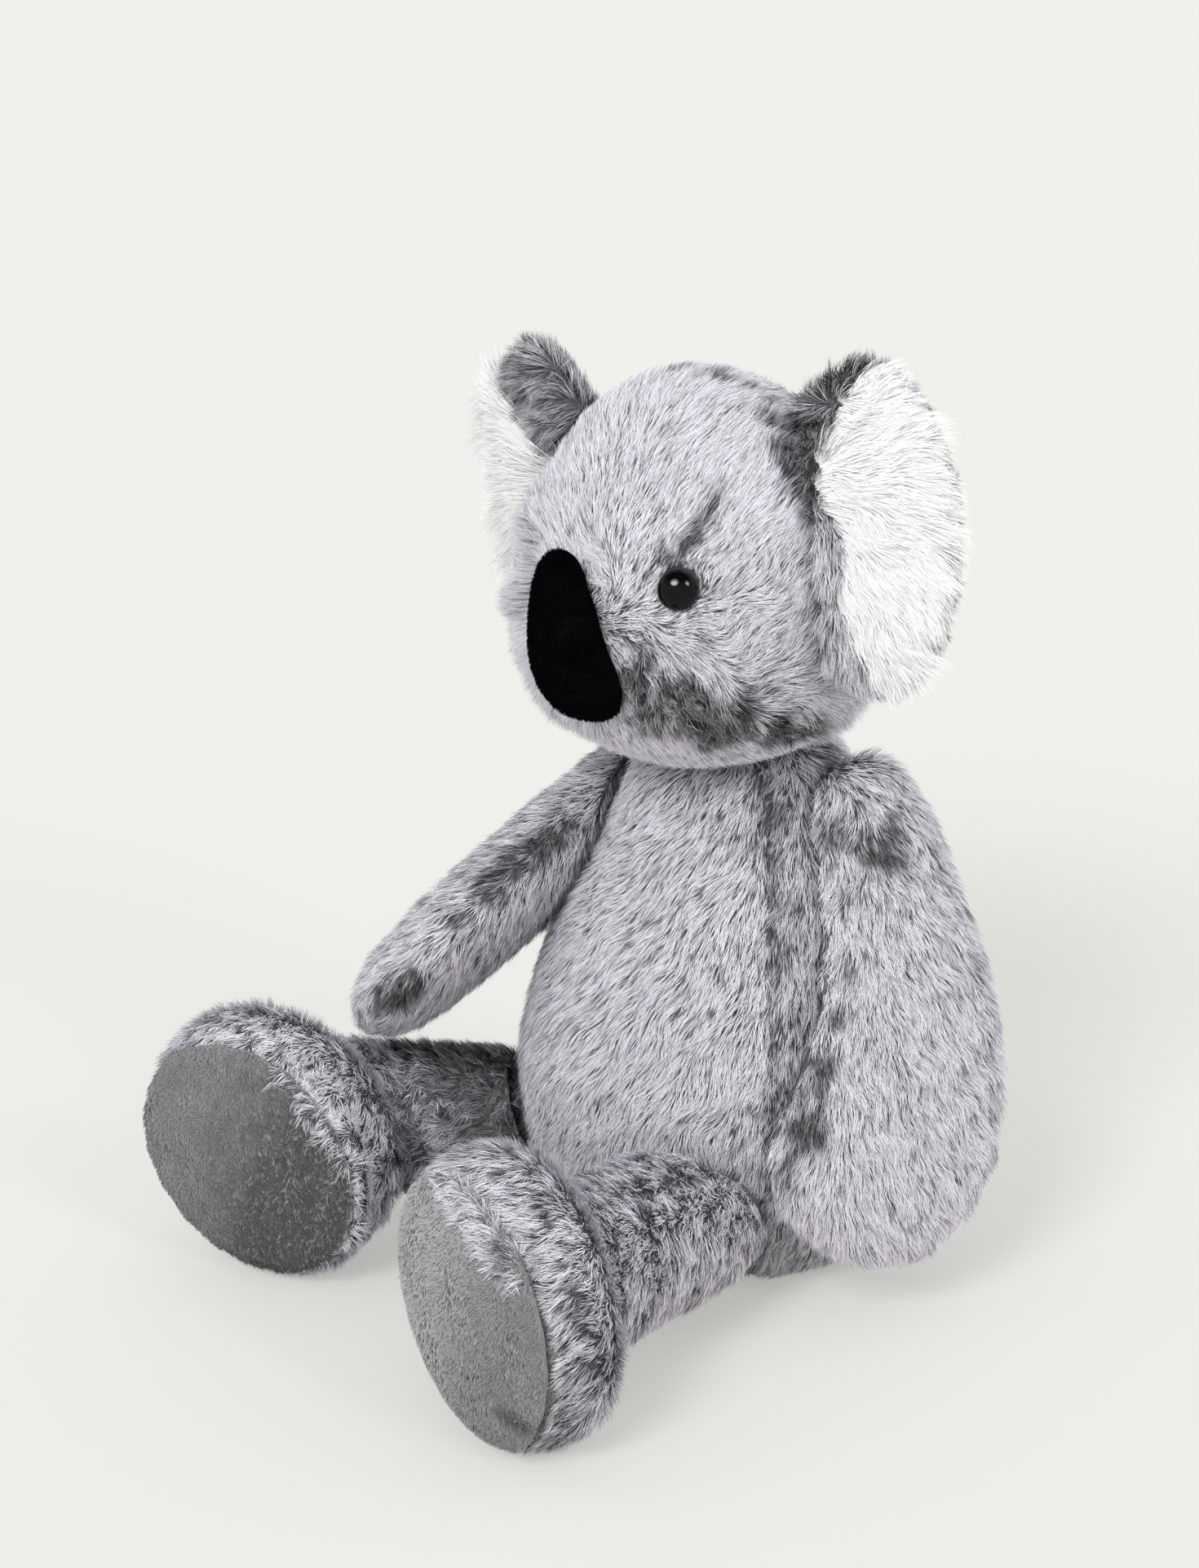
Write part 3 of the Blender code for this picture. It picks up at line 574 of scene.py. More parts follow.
def near_surface(tree, points, reach):
    found = np.full(len(points), reach)
    for place, point in enumerate(points):
        hit = tree.find_nearest(point, reach)
        if hit[0] is not None:
            found[place] = hit[3]
    return found


def body_look(p, n):
    away = p * np.array([1.0, 1.0, 0.0])
    flow = DOWN + unit(away) * (step(0.14, 0.18, p[:, 2]) * 0.9)[:, None] + SWEEP * 0.42
    round_angle = np.degrees(np.arctan2(p[:, 0], -p[:, 1]))
    side_angle = np.abs(round_angle)
    seam = side_angle - 60 - (p[:, 2] - 0.09) * 40
    seam_width = np.abs(seam) * np.linalg.norm(away, axis=1) * math.pi / 180
    tone = 0.90 + field(p, 42, 1) * 0.05 + field(p, 9, 2) * 0.07
    # The sides of the body, from the seam round towards the back and below the chest, are darker: painted shade
    # under the arms
    tone = tone - 0.36 * step(0, 6, seam) * step(56, 40, seam) * step(0.15, 0.13, p[:, 2])
    parting = mm_step(4.0, 0.8, seam_width)
    tone = tone - 0.42 * parting
    # Dark marks: the fur's own mottle, and painted shade under the head and in the creases by the arms and legs
    tone = tone + spots(p, BODY_MOTTLE_AND_SHADE) * (0.75 + 0.5 * field(p, 9, 3))
    length = PILE["body"] * (1 - 0.3 * parting)
    keep = 1 - 0.95 * mm_step(4, 2, p[:, 2]) * step(-0.5, -0.9, n[:, 2])
    rough = field(p, 16, 4)
    return {"keep": keep, "flow": flow + field3(p, 22, 6) * 0.16, "length": length,
            "lean": (42 + 4 * rough, 81 + 5 * rough), "tone": tone, "flecks": 0.07, "tuft": 0.36}


# Dark marks on the body: partly the fur's own mottle, partly painted shade under the head and in the creases by the
# arms and legs
BODY_MOTTLE_AND_SHADE = (
    ((36, -14, 159), 17, -0.50), ((15, -33, 163), 12, -0.30), ((26, 11, 173), 16, -0.55),
    ((30, -26, 152), 9, -0.30), ((-20, -36, 160), 12, -0.10), ((42, -22, 140), 9, -0.30),
    ((48, -30, 118), 8, -0.25), ((-10, 36, 160), 22, -0.25), ((20, -62, 125), 10, -0.16),
    ((55, -47, 52), 14, -0.35), ((56, -38, 75), 9, -0.25), ((20, -45, 155), 13, -0.32),
    ((33, -35, 146), 9, -0.35), ((4, -52, 152), 10, -0.20), ((28, -48, 140), 8, -0.22))


def head_look(p, n):
    local = p - HEAD_MIDDLE
    across = dot(local, HEAD_LEFT)
    ahead = dot(local, HEAD_AHEAD)
    up = local[:, 2]
    outward = HEAD_LEFT * np.clip(across / 0.014, -1, 1)[:, None]
    turn = np.degrees(np.arctan2(np.abs(across), ahead))
    border = np.interp(turn, (0, 45, 62, 180), (-0.004, -0.004, -0.028, -0.028))
    above = np.interp(turn, (0, 60, 110, 180), (0.013, 0.013, 0.032, 0.034))
    low = step(above, -0.011, up - border)[:, None]
    flow = outward * (0.42 + 1.2 * low * (1 - low)) - HEAD_AHEAD * 0.52 - DOWN * (0.90 - 1.55 * low)
    flow = flow + field3(p, 18, 16) * 0.13
    muzzle = np.clip(-spots(p, MUZZLE_MARKS), 0, 1)
    flow = flow + field3(p, 7, 17) * (0.9 * muzzle)[:, None]
    for place, reach, way in HEAD_BRUSHED:
        weight = step(reach * MM, 0.3 * reach * MM, distance(p, np.array(place) / 1000))[:, None]
        flow = flow * (1 - weight) + np.array(way) * weight * 1.2
    eyes = eye_distance(p)
    mottle = field(p, 5, 25)
    tone = 0.90 + field(p, 40, 21) * 0.04 + field(p, 8, 22) * 0.05
    tone = tone - 0.17 * step(0.024, 0.045, across) * step(0.030, 0.010, up) - muzzle * (0.66 + 0.22 * mottle)
    tone = tone + spots(p, HEAD_MARKS) * (1.0 + 0.4 * mottle)
    tone = tone - 0.16 * mm_step(11, 7, eyes)
    nose = near_surface(NOSE_TREE, p, 12 * MM)
    length = PILE["head"] * (0.50 + 0.50 * mm_step(6, 12, eyes)) * (0.62 + 0.38 * mm_step(1, 9, nose))
    keep = step(*EYE_CLEAR, eyes) * step(*NOSE_CLEAR, nose)
    flatter = mm_step(14, 7, eyes)
    # Between the nose and the right eye the pile stands up, which hides that eye from the left
    crown = EYES["right"][0]
    bridge = mm_step(18, 12, distance(p, crown)) * step(0.0, 4 * MM, dot(p - crown, HEAD_LEFT))
    bridge = bridge * mm_step(7.4, 9.4, eyes)
    length = length * (1 - bridge) + 9.0 * MM * bridge
    rough = field(p, 14, 24)
    # The right cheek is fluffed up, and shows as a soft rim beside the nose
    fluff = step(-0.014, -0.024, across) * step(0.0, 0.018, ahead) * step(0.024, 0.012, up) * (1 - bridge)
    length = length + 2.5 * MM * fluff
    over_nose = np.clip(spots(p, NOSE_TUFTS), 0, 1)
    jowl = np.clip(spots(p, JOWL), 0, 1)
    length = length + 3.5 * MM * over_nose + 3.6 * MM * jowl
    lean_root = 44 + 8 * flatter - 6 * muzzle - 34 * over_nose - 22 * fluff - 14 * jowl
    lean_tip = 81 + 5 * rough + 4 * flatter - 4 * muzzle - 6 * over_nose - 24 * fluff - 22 * jowl
    lean = (lean_root * (1 - bridge) + 6 * bridge, lean_tip * (1 - bridge) + 11 * bridge)
    return {"keep": keep, "flow": flow, "length": length, "flecks": 0.07, "tuft": 0.36,
            "lean": lean, "tone": tone, "curl": 0.06 + 0.12 * muzzle}


# Darker, curlier pile from under the eye round the muzzle to the chin
MUZZLE_MARKS = (
    ((33, -65, 205), 21, -0.38), ((45, -48, 199), 17, -0.38), ((51, -28, 193), 13, -0.30),
    ((31, -68, 219), 9, -0.55), ((40, -61, 211), 11, -0.75), ((27, -69, 208), 11, -0.75),
    ((33, -64, 199), 11, -0.95), ((43, -56, 202), 11, -0.95), ((49, -45, 199), 9, -0.95),
    ((51, -32, 193), 9, -1.00), ((52, -19, 191), 8, -0.90), ((55, -10, 197), 7, -0.50),
    ((41, -50, 195), 8, -0.80), ((26, -66, 196), 8, -0.60), ((29, -69, 226), 8, -0.35),
    ((26, -70, 216), 8, -0.50), ((46, -48, 196), 8, -0.80), ((51, -26, 192), 8, -0.80),
    ((31, -68, 225), 9, -0.34), ((40, -62, 217), 9, -0.36), ((46, -56, 211), 9, -0.42),
    ((51, -47, 206), 9, -0.50), ((55, -33, 199), 8, -0.60), ((54, -20, 194), 8, -0.60),
    ((-36, -60, 208), 15, -0.70), ((-46, -45, 198), 12, -0.70))
HEAD_MARKS = (
    ((36, -54, 256), 7, -0.60), ((36.5, -50, 261), 7, -0.55), ((37, -46, 266), 7, -0.55),
    ((35, -44, 271), 6, -0.55), ((34, -56, 253), 6, -0.50), ((29, -58, 249), 5, -0.55),
    ((41, -49, 258), 6, -0.45), ((42, -44, 264), 6, -0.40),
    ((25, -62, 243), 5, -0.45), ((47, -52, 240.5), 4.5, -0.85), ((51, -47, 238.5), 4, -0.65),
    ((48, -54, 233.5), 4, 0.10), ((54, -41, 236), 4, 0.08), ((44, -58, 228), 5.5, -0.60),
    ((50, -52, 227), 5, -0.40), ((4, -19, 296), 9, -0.60), ((-10, -22, 294), 9, -0.50),
    ((14, -14, 293), 7, -0.55), ((-3, -10, 297), 10, -0.40),
    ((30, -18, 286), 8, -0.85), ((22, -12, 290), 7, -0.55), ((16, 2, 290), 8, -0.50),
    ((40, -20, 277), 9, -0.85), ((46, -20, 269), 9, -0.85), ((52, -20, 260), 8, -0.75),
    ((34, -6, 283), 12, -0.60), ((47, -8, 270), 10, -0.60),
    ((60, -12, 225), 7, -0.30), ((58, -16, 240), 6, -0.35), ((61, -10, 212), 7, -0.30))
# Where the pile is brushed its own way: above the eye, and back from under it
JOWL = (((53, -4, 200), 22, 1.0), ((50, -18, 192), 12, 0.4))
NOSE_TUFTS = (((12, -70, 248), 7, 1.0), ((17, -71, 241), 6, 0.8), ((6, -70, 252), 6, 0.8))
HEAD_BRUSHED = (
    ((12, -70, 248), 7, (-1.0, -0.1, -0.45)), ((17, -71, 241), 6, (-1.0, -0.2, -0.35)),
    ((6, -70, 252), 6, (-0.7, -0.1, -0.8)),
    ((36, -52, 259), 12, (0.5, 0.45, 0.9)), ((47, -54, 236), 8, (0.55, 0.80, 0.05)),
    ((53, -44, 237), 9, (0.50, 0.85, 0.15)))


def bridge_look(p, n):
    """Extra pile on the nose's side of the right eye, which stands up and hides it from the left."""
    crown, way = EYES["right"]
    aside = dot(p - crown, HEAD_LEFT)
    reach = distance(p, crown)
    keep = mm_step(18, 14, reach) * step(0.0, 2 * MM, aside) * mm_step(8.4, 9.4, eye_distance(p))
    keep = keep * step(*NOSE_CLEAR, near_surface(NOSE_TREE, p, 4 * MM))
    return {"keep": keep, "flow": -HEAD_LEFT, "length": PILE["bridge"],
            "lean": (2, 17), "curl": 0.10, "sway": 0.5, "tone": 0.84,
            "flecks": 0.03, "tuft": 0.40, "rise": 0}


def limb_look(name, flow_way, tone_of, length, keep_of=None):
    def look(p, n):
        seed = sum(name.encode())
        flow = flow_way(p, n) + field3(p, 18, seed) * 0.22
        tone = tone_of(p, n) + field(p, 32, seed + 1) * 0.06 + field(p, 10, seed + 2) * 0.08
        keep = np.ones(len(p)) if keep_of is None else keep_of(p, n)
        rough = field(p, 13, seed + 3)
        return {"keep": keep, "flow": flow, "length": length, "flecks": 0.08, "tuft": 0.36,
                "lean": (38 + 5 * rough, 80 + 7 * rough), "tone": tone}
    return look


JOINTS = {joint["name"]: joint for joint in frame["joints"]}


def along(start, end, p):
    way = end - start
    return np.clip(dot(p - start, way) / dot(way, way), 0, 1)


ARM_MARKS = {
    # The left arm's marks at its top, where it meets the shoulder, are painted shade
    "left": (((60, 5, 153), 13, -0.50), ((48, -6, 157), 11, -0.45), ((58, -4, 140), 7, -0.30),
             ((66, -6, 128), 5, -0.35), ((65, -11, 118), 6, -0.50), ((67, -17, 104), 7, -0.45),
             ((68, -23, 90), 9, -0.55), ((70, -32, 70), 11, -0.60), ((69, -28, 80), 9, -0.45),
             ((67, -36, 56), 9, -0.40), ((87, 11, 97), 4, -0.50), ((90, 15, 85), 4, -0.35),
             ((72, -36, 50), 5, -0.20), ((58, 12, 160), 9, -0.25)),
    "right": (((-31, -105, 105), 9, -0.80), ((-37, -110, 100), 11, -0.90), ((-43, -114, 95), 10, -0.85),
              ((-47, -116, 92), 8, -0.60), ((-28, -81, 133), 10, -0.52), ((-28, -73, 137), 8, -0.42),
              ((-28, -65, 140), 10, -0.52), ((-28, -57, 143), 8, -0.40), ((-27, -92, 124), 8, -0.45),
              ((-28, -50, 146), 10, -0.42), ((-36, -76, 98), 6, 0.10), ((-48, -106, 110), 6, 0.05)),
}
HAND_END = np.array([-0.037, -0.110, 0.100])


def make_arm(side_name):
    body = f"arm_{side_name}"
    start = np.array(JOINTS[f"{body}_lift"]["pos_m"])
    places = arrays(SKINS[body])[0]
    reach = distance(places, start)
    tip = places[reach > reach.max() - 6 * MM].mean(axis=0)
    side = 1 if side_name == "left" else -1
    way = unit(tip - start)

    def flow(p, n):
        if side_name == "left":
            edge = step(0.55, 0.95, n @ unit(np.array([0.25, -0.96, 0.1])))
            return way - SWEEP * (0.34 - 0.50 * edge)[:, None]
        hand = mm_step(18, 7, distance(p, HAND_END))[:, None]
        return way * (1 - 0.6 * hand) + DOWN * (0.35 + 0.5 * hand) + field3(p, 7, 77) * 0.5 * hand

    def tone(p, n):
        share = along(start, tip, p)
        if side_name == "left":
            base = 0.85 + 0.06 * step(0.80, 0.97, n @ unit(np.array([0.25, -0.96, 0.1])))
            return base + spots(p, ARM_MARKS["left"]) * (1.45 + 0.6 * field(p, 8, 71))
        base = 0.82 - 0.16 * step(-0.2, 0.6, n[:, 2]) * step(0.85, 0.6, share)
        return base + spots(p, ARM_MARKS["right"]) * (0.8 + 0.4 * field(p, 8, 72))

    look = limb_look(body, flow, tone, PILE["arm"])
    dress(SKINS[body], body, "grey_fur", limb_nodes(body))
    grow(f"{body}_fur", SKINS[body], body, "grey_fur", STRANDS["arm"], look, 100 + side * 7, floor=OVER_FLOOR)


LEG_MARKS = {
    "left": (((58, -67, 60), 13, -0.34), ((71, -93, 61), 12, -0.36), ((50, -55, 60), 11, -0.38),
             ((80, -110, 63), 10, -0.34), ((62, -85, 64), 11, -0.24),
             ((103, -137, 40), 9, -0.40), ((101, -150, 22), 8, -0.40), ((101, -143, 54), 6, -0.30),
             ((86, -150, 78), 7, 0.10), ((64, -155, 86), 9, 0.15)),
    "right": (((-43, -85, 57), 18, -0.35), ((-46, -69, 61), 16, -0.30), ((-30, -78, 45), 14, -0.35),
              ((-24, -72, 40), 12, -0.20), ((-38, -105, 50), 9, -0.25),
              ((-60, -150, 80), 12, 0.30), ((-45, -137, 72), 12, 0.35), ((-32, -133, 52), 10, 0.30),
              ((-28, -130, 30), 9, 0.22), ((-28, -122, 15), 9, 0.15)),
}
FOOT_TONE = {"left": 0.80, "right": 0.90}
TURNED = 9 * MM
FOOT_SWELL = 3.8 * MM
LEG_PINCH = 3.2 * MM


def make_leg(side_name):
    body = f"leg_{side_name}"
    hip = np.array(JOINTS[f"{body}_drop"]["pos_m"])
    sole = middle_of(f"sole_{side_name}")
    side = 1 if side_name == "left" else -1
    sole_points = arrays(SKINS[f"sole_{side_name}"])[0]
    spread = np.linalg.svd(sole_points - sole_points.mean(axis=0), full_matrices=False)[2][2]
    facing = spread * (1 if spread @ (sole - hip) > 0 else -1)
    front = (sole_points @ facing).max() - 4.5 * MM
    level_way = unit(np.cross(facing, -DOWN))
    level_way = level_way if level_way[0] > 0 else -level_way      # across the sole, to the koala's left

    def flow(p, n):
        share = step(0.35, 0.9, along(hip, sole, p))
        outward = unit(p - sole - facing * dot(p - sole, facing)[:, None])
        curly = field3(p, 8, 230 + side) * (0.9 if side_name == "right" else 0.35)
        ahead = unit(sole - hip) * 0.9 + DOWN * 0.35 + curly
        return ahead * (1 - share)[:, None] + (outward * 0.25 + facing * 1.0 + curly * 0.4) * share[:, None]

    def tone(p, n):
        share = along(hip, sole, p)
        foot = step(0.50, 0.72, share) if side_name == "right" else step(0.62, 0.82, share)
        leg_tone = 0.38 if side_name == "right" else 0.88
        base = leg_tone * (1 - foot) + FOOT_TONE[side_name] * foot
        back = front - p @ facing
        rim = mm_step(17, 22, back) * mm_step(29, 26, back)
        base = base + 0.14 * rim - 0.28 * mm_step(28, 31, back) * mm_step(40, 34, back)
        if side_name == "left":
            # Behind the foot, the left leg's sides and underside are lighter: painted light, standing for fill
            # light from the right
            base = base + 0.22 * step(0.55, 0.05, n[:, 2]) * mm_step(28, 34, back)
            mottle = step(-0.35, 0.75, field(p, 4.5, 245))
            base = base - 0.44 * mottle * mm_step(9, 12, back) * mm_step(23, 19, back) * step(0.2, 0.6, n[:, 0])
        return base + spots(p, LEG_MARKS[side_name]) * (0.75 + 0.5 * field(p, 7, 240 + side))

    def face_place(p):
        """On the sole: to the koala's left and up from its middle."""
        away = p - sole
        return dot(away, level_way), away[:, 2]

    def turned(p):
        """1 where the left sole's velour reaches back over the foot's outer edge, 0 where the fur begins."""
        if side_name == "right":
            return np.zeros(len(p))
        right, up = face_place(p)
        reach = TURNED * mm_step(8, 22, right) * mm_step(24, 10, up) + field(p, 7, 260) * 1.2 * MM
        return mm_step(-1.2, 1.2, reach - (front - p @ facing)) * mm_step(8, 22, right)

    def keep(p, n):
        end = step(front + 1.0 * MM, front - 1.0 * MM, p @ facing) * (1 - turned(p))
        return end * (1 - 0.95 * mm_step(3, 1.5, p[:, 2]) * step(-0.5, -0.9, n[:, 2]))

    # The foot stays full to its rim, and the leg behind it is narrower
    places, normals = arrays(SKINS[body])[:2]
    behind = front - places @ facing
    swell = FOOT_SWELL * mm_step(8, 21, behind) * mm_step(31, 26, behind)
    swell = swell - LEG_PINCH * mm_step(27, 34, behind) * mm_step(62, 44, behind)
    moved = places + normals * swell[:, None]
    moved[:, 2] = np.maximum(moved[:, 2], np.minimum(places[:, 2], 1.5 * MM))
    move_corners(SKINS[body], moved)

    if side_name == "left":
        places, normals = arrays(SKINS[body])[:2]
        out = mm_step(-3, 1, turned(places) * 3 * MM - 1.5 * MM)
        moved = places + normals * (out * turned(places) * 2.0 * MM)[:, None]
        move_corners(SKINS[body], moved)
        rim_places, rim_normals = arrays(SKINS["sole_left"])[:2]
        right, up = face_place(rim_places)
        rim = step(0.92, 0.40, rim_normals @ facing) * mm_step(8, 22, right) * mm_step(40, 28, up)
        outward = unit(rim_places - sole - facing * dot(rim_places - sole, facing)[:, None])
        moved = rim_places + (outward * 2.4 * MM - facing * 0.8 * MM) * rim[:, None]
        dimple = np.hypot((right - 27 * MM) * 0.7, up + 25 * MM + 0.25 * (right - 27 * MM))
        moved = moved - facing * (1.1 * MM * mm_step(7, 1, dimple) * step(0.3, 0.7, rim_normals @ facing))[:, None]
        move_corners(SKINS["sole_left"], moved)

    look = limb_look(body, flow, tone, PILE["leg"], keep)
    dress(SKINS[body], body, "grey_fur", limb_nodes(body))
    grow(f"{body}_fur", SKINS[body], body, "grey_fur", STRANDS["leg"], look, 200 + side * 7, floor=OVER_FLOOR)

    def comb_look(p, n):
        """Fur from the foot's rim combed over the sole."""
        right, up = face_place(p)
        wave = field(p, 9, 350 + side) * 5 * MM
        if side_name == "left":
            cover = mm_step(30, 34, up + 0.42 * right + wave * 0.5)
            flow_here = -level_way * 1.0 + DOWN * 0.35 + field3(p, 8, 352) * 0.8
            tone_here = 0.74 - 0.50 * step(-0.4, 0.7, field(p, 7, 354)) * mm_step(14, 26, right)
        else:
            cover = mm_step(29, 34, right * 0.80 + up * 0.62 + wave * 0.6)
            flow_here = -level_way * 0.6 + DOWN * 0.6 + field3(p, 8, 352) * 0.6
            tone_here = 0.66
        keep_here = np.clip(cover, 0, 1) * step(-0.8, -0.4, n @ facing)
        return {"keep": keep_here, "flow": flow_here, "length": PILE["comb"], "flecks": 0.10,
                "lean": (44, 80), "tone": tone_here + field(p, 6, 356) * 0.08, "tuft": 0.36}

    def sole_look(p, n, on_sole=True):
        right, up = face_place(p)
        brush = field(p, 18, 300 + side)
        flow_here = DOWN - level_way * 0.35 + level_way * brush[:, None] * 0.9 + field3(p, 7, 310) * 0.35
        keep_here = step(-0.25, 0.1, n @ facing) if on_sole else turned(p)
        # shade is painted shade: each sole darkens towards the koala's left and its lower edge, away from the key
        # light
        shade = mm_step(-26, 30, right - 0.35 * up)
        tone_here = 1.02 - (0.52 if side_name == "left" else 0.56) * shade - (0.58 if side_name == "right" else 0.0)
        tone_here = tone_here + brush * 0.07 + field(p, 5, 320 + side) * 0.04
        if side_name == "left":
            # The dimple pressed into the left sole is darker: painted shade in the dent
            tone_here = tone_here - 0.38 * mm_step(6, 2, np.hypot((right - 27 * MM) * 0.6, up + 24 * MM))
        return {"keep": keep_here, "flow": flow_here, "length": PILE["sole"],
                "lean": (44, 76 + 6 * brush), "tone": tone_here, "tuft": 0.25, "curl": 0.06,
                "mixed": 0.08, "rise": 0}

    name = f"sole_{side_name}"
    dress(SKINS[name], body, "sole_velour", [name])
    velour = {"clump": 8, "width": VELOUR_WIDTH, "floor": 0.3 * MM}
    grow(f"{name}_pile", SKINS[name], body, "sole_velour", STRANDS["sole"], sole_look, 330 + side, **velour)
    if side_name == "left":
        grow(f"{name}_turn", SKINS[body], body, "sole_velour", STRANDS["sole_turn"],
             lambda p, n: sole_look(p, n, False), 360, **velour)
    grow(f"{name}_comb", SKINS[name], body, "grey_fur", STRANDS["comb"], comb_look, 340 + side,
         floor=OVER_FLOOR)


def make_nose():
    def look(p, n):
        away = unit(p - NOSE_MIDDLE)
        up = dot(p - NOSE_MIDDLE, -DOWN) / 0.026
        keep = step(-0.35, -0.05, n @ HEAD_AHEAD)
        tone = 0.35 - 0.45 * up + field(p, 8, 400) * 0.2
        return {"keep": keep, "flow": away + DOWN * 0.8, "length": PILE["nose"],
                "lean": (30, 60), "tone": tone, "tuft": 0.2, "curl": 0.05, "mixed": 0.3, "rise": 0}
    dress(SKINS["nose"], "head", "nose_velour", ["nose"])
    grow("nose_pile", SKINS["nose"], "head", "nose_velour", STRANDS["nose"], look, 410,
         clump=8, width=0.2 * MM)


# Where the grey pile ends on the front of an ear: heights up the ear, and places out along it
EAR_EDGES = {
    "left": ((-60, -50.6, -35.3, -21.9, -6.4, 3.2, 14.7, 30.3, 41.6, 48.8),
             (0.6, 0.6, -4.2, -9.9, -8.8, -14.2, -19.0, -16.0, -9.0, 3.0)),
    "right": ((-60, 3, 14, 22, 28, 34, 43, 60), (-40, -40, -25, -13, -3.7, 6.2, 15, 40)),
}


EAR_RIM = {"left": 0.02, "right": 0.35}      # how far the white pile reaches round the rim


def make_ear(side_name):
    side = 1 if side_name == "left" else -1
    front, back = f"ear_{side_name}_front", f"ear_{side_name}_back"
    whole = surface(f"{front}_hide", [front, back], "ear")
    places = {node: np.array([v.co[:] for v in frame["nodes"][node].data.vertices]).mean(axis=0)
              for node in (front, back)}
    face = unit(places[front] - places[back])
    centre = (places[front] + places[back]) / 2
    root = HEAD_MIDDLE + np.array([0, 0, 0.012])
    outward = centre - root
    outward = unit(outward - face * (outward @ face))
    tall = np.cross(outward, face)
    tall = tall if tall[2] > 0 else -tall

    def local(p):
        away = p - centre
        return dot(away, outward), dot(away, tall), dot(away, face)

    ups, outs = (np.array(row) * MM for row in EAR_EDGES[side_name])

    def grey_share(p, n):
        out, up, ahead = local(p)
        wave = field(p, 7, 505 + side) * 2.2 * MM
        wedge = mm_step(-1.5, 1.5, np.interp(up, ups, outs) + wave - out)
        white_rim = EAR_RIM[side_name] * mm_step(-6, 4, out)
        behind = step(0.10, -0.10, n @ face + 0.16 * field(p, 16, 507 + side) + white_rim)
        return np.maximum(wedge, behind)

    backing = link(f"{back}_hide", whole.data.copy())
    for obj, keep_white in ((whole, True), (backing, False)):
        bm = bmesh.new()
        bm.from_mesh(obj.data)
        middles = np.array([f.calc_center_median()[:] for f in bm.faces])
        white = grey_share(middles, np.array([f.normal[:] for f in bm.faces])) < 0.5
        gone = [f for f, is_white in zip(bm.faces, white) if is_white != keep_white]
        bmesh.ops.delete(bm, geom=gone, context="FACES")
        finish_mesh(bm, obj.data)
    fur_base = surface("ear_base", [front, back], "ear")
    dress(whole, "head", "white_fur", [front])
    dress(backing, "head", "grey_fur", [back])

    def white_look(p, n):
        out, up, ahead = local(p)
        radial = outward * (out + 0.030)[:, None] + tall * (up * 0.7)[:, None]
        flow = unit(radial) * 0.9 + DOWN * 0.45 + field3(p, 20, 500 + side) * 0.30
        rim = step(0.012, 0.036, np.hypot(out + 0.006, up * 0.8))
        length = (EAR_PILE[side_name] + (2.0 - 2.5 * side) * rim + 1.5 * field(p, 12, 510 + side)) * MM
        if side_name == "right":
            length = length + 7 * MM * mm_step(8, -18, up) - 9 * MM * mm_step(24, 38, up)
        return {"keep": 1 - grey_share(p, n), "flow": flow, "length": length,
                "lean": (56 - 8 * rim, 88 - 4 * rim), "tone": 0.84 + field(p, 10, 520 + side) * 0.16,
                "curl": 0.06, "tuft": 0.30, "sway": 0.14, "mixed": 0.4, "rise": 0}

    def grey_look(p, n):
        out, up, ahead = local(p)
        radial = outward * (out + 0.030)[:, None] + tall * up[:, None]
        front_side = step(-0.1, 0.2, n @ face)
        flow = unit(radial) * (1 - 0.6 * front_side)[:, None] + field3(p, 12, 540 + side) * 0.35
        flow = flow + (DOWN * 0.7 + outward * 0.25) * front_side[:, None]
        upper = mm_step(2, 10, up)
        tone = (0.30 * upper + 0.75 * (1 - upper)) * front_side + 0.50 * (1 - front_side)
        tone = tone + field(p, 11, 550 + side) * 0.12 - (0.08 if side_name == "left" else 0.0)
        return {"keep": grey_share(p, n), "flow": flow, "length": PILE["ear_grey"], "flecks": 0.06,
                "lean": (36, 74), "tone": tone}

    grow(f"{front}_fur", fur_base, "head", "white_fur", STRANDS["ear_white"], white_look, 560 + side,
         clump=12, width=0.24 * MM)
    grow(f"{back}_fur", fur_base, "head", "grey_fur", STRANDS["ear_grey"], grey_look, 580 + side)
    bpy.data.objects.remove(fur_base)


dress(SKINS["body"], "body", "grey_fur", ["body_skin", "body_fill", "pellet_bag"])
grow("body_fur", SKINS["body"], "body", "grey_fur", STRANDS["body"], body_look, 31, floor=OVER_FLOOR)
dress(SKINS["head"], "head", "grey_fur", ["head_skin", "head_fill"])
grow("head_fur", SKINS["head"], "head", "grey_fur", STRANDS["head"], head_look, 51)
grow("bridge_fur", SKINS["head"], "head", "grey_fur", STRANDS["bridge"], bridge_look, 61)
for side_name in ("left", "right"):
    make_arm(side_name)
    make_leg(side_name)
    make_ear(side_name)
    make_eye(side_name)
    washer = frame["nodes"][f"eye_{side_name}_washer"]
    washer.data.materials.clear()
    washer.data.materials.append(WASHER_PLASTIC)
make_nose()


# Studio

# Softboxes as glossy things show them: right, up and toward the camera, half their width in degrees, strength
SOFTBOXES = ((-0.34, 0.40, 0.85, 17.0, 50.0), (0.60, 0.36, 0.72, 11.0, 26.0))
# Lamps: right, up and toward the camera, width in degrees, and level
LAMPS = {"key": (-0.34, 0.36, 0.87, 20.0, 0.54), "fill": (0.56, 0.30, 0.77, 12.0, 0.14)}
SKY_LEVEL = 0.80           # what the world gives
FLOOR_BOUNCE = 0.88        # share of the background's colour that the floor gives back to the object
FLOOR_LIT = 0.55           # how much of the seen floor's brightness the object can shade
FLOOR_TOTAL = 1.21         # what the floor receives from the world and the lamps


def seen_directly(tree):
    """1 for camera, glossy and transmission rays, else 0."""
    path = tree.nodes.new("ShaderNodeLightPath")
    total = path.outputs["Is Camera Ray"]
    for kind in ("Is Glossy Ray", "Is Transmission Ray"):
        either = tree.nodes.new("ShaderNodeMath")
        either.operation = "MAXIMUM"
        tree.links.new(total, either.inputs[0])
        tree.links.new(path.outputs[kind], either.inputs[1])
        total = either.outputs[0]
    return total


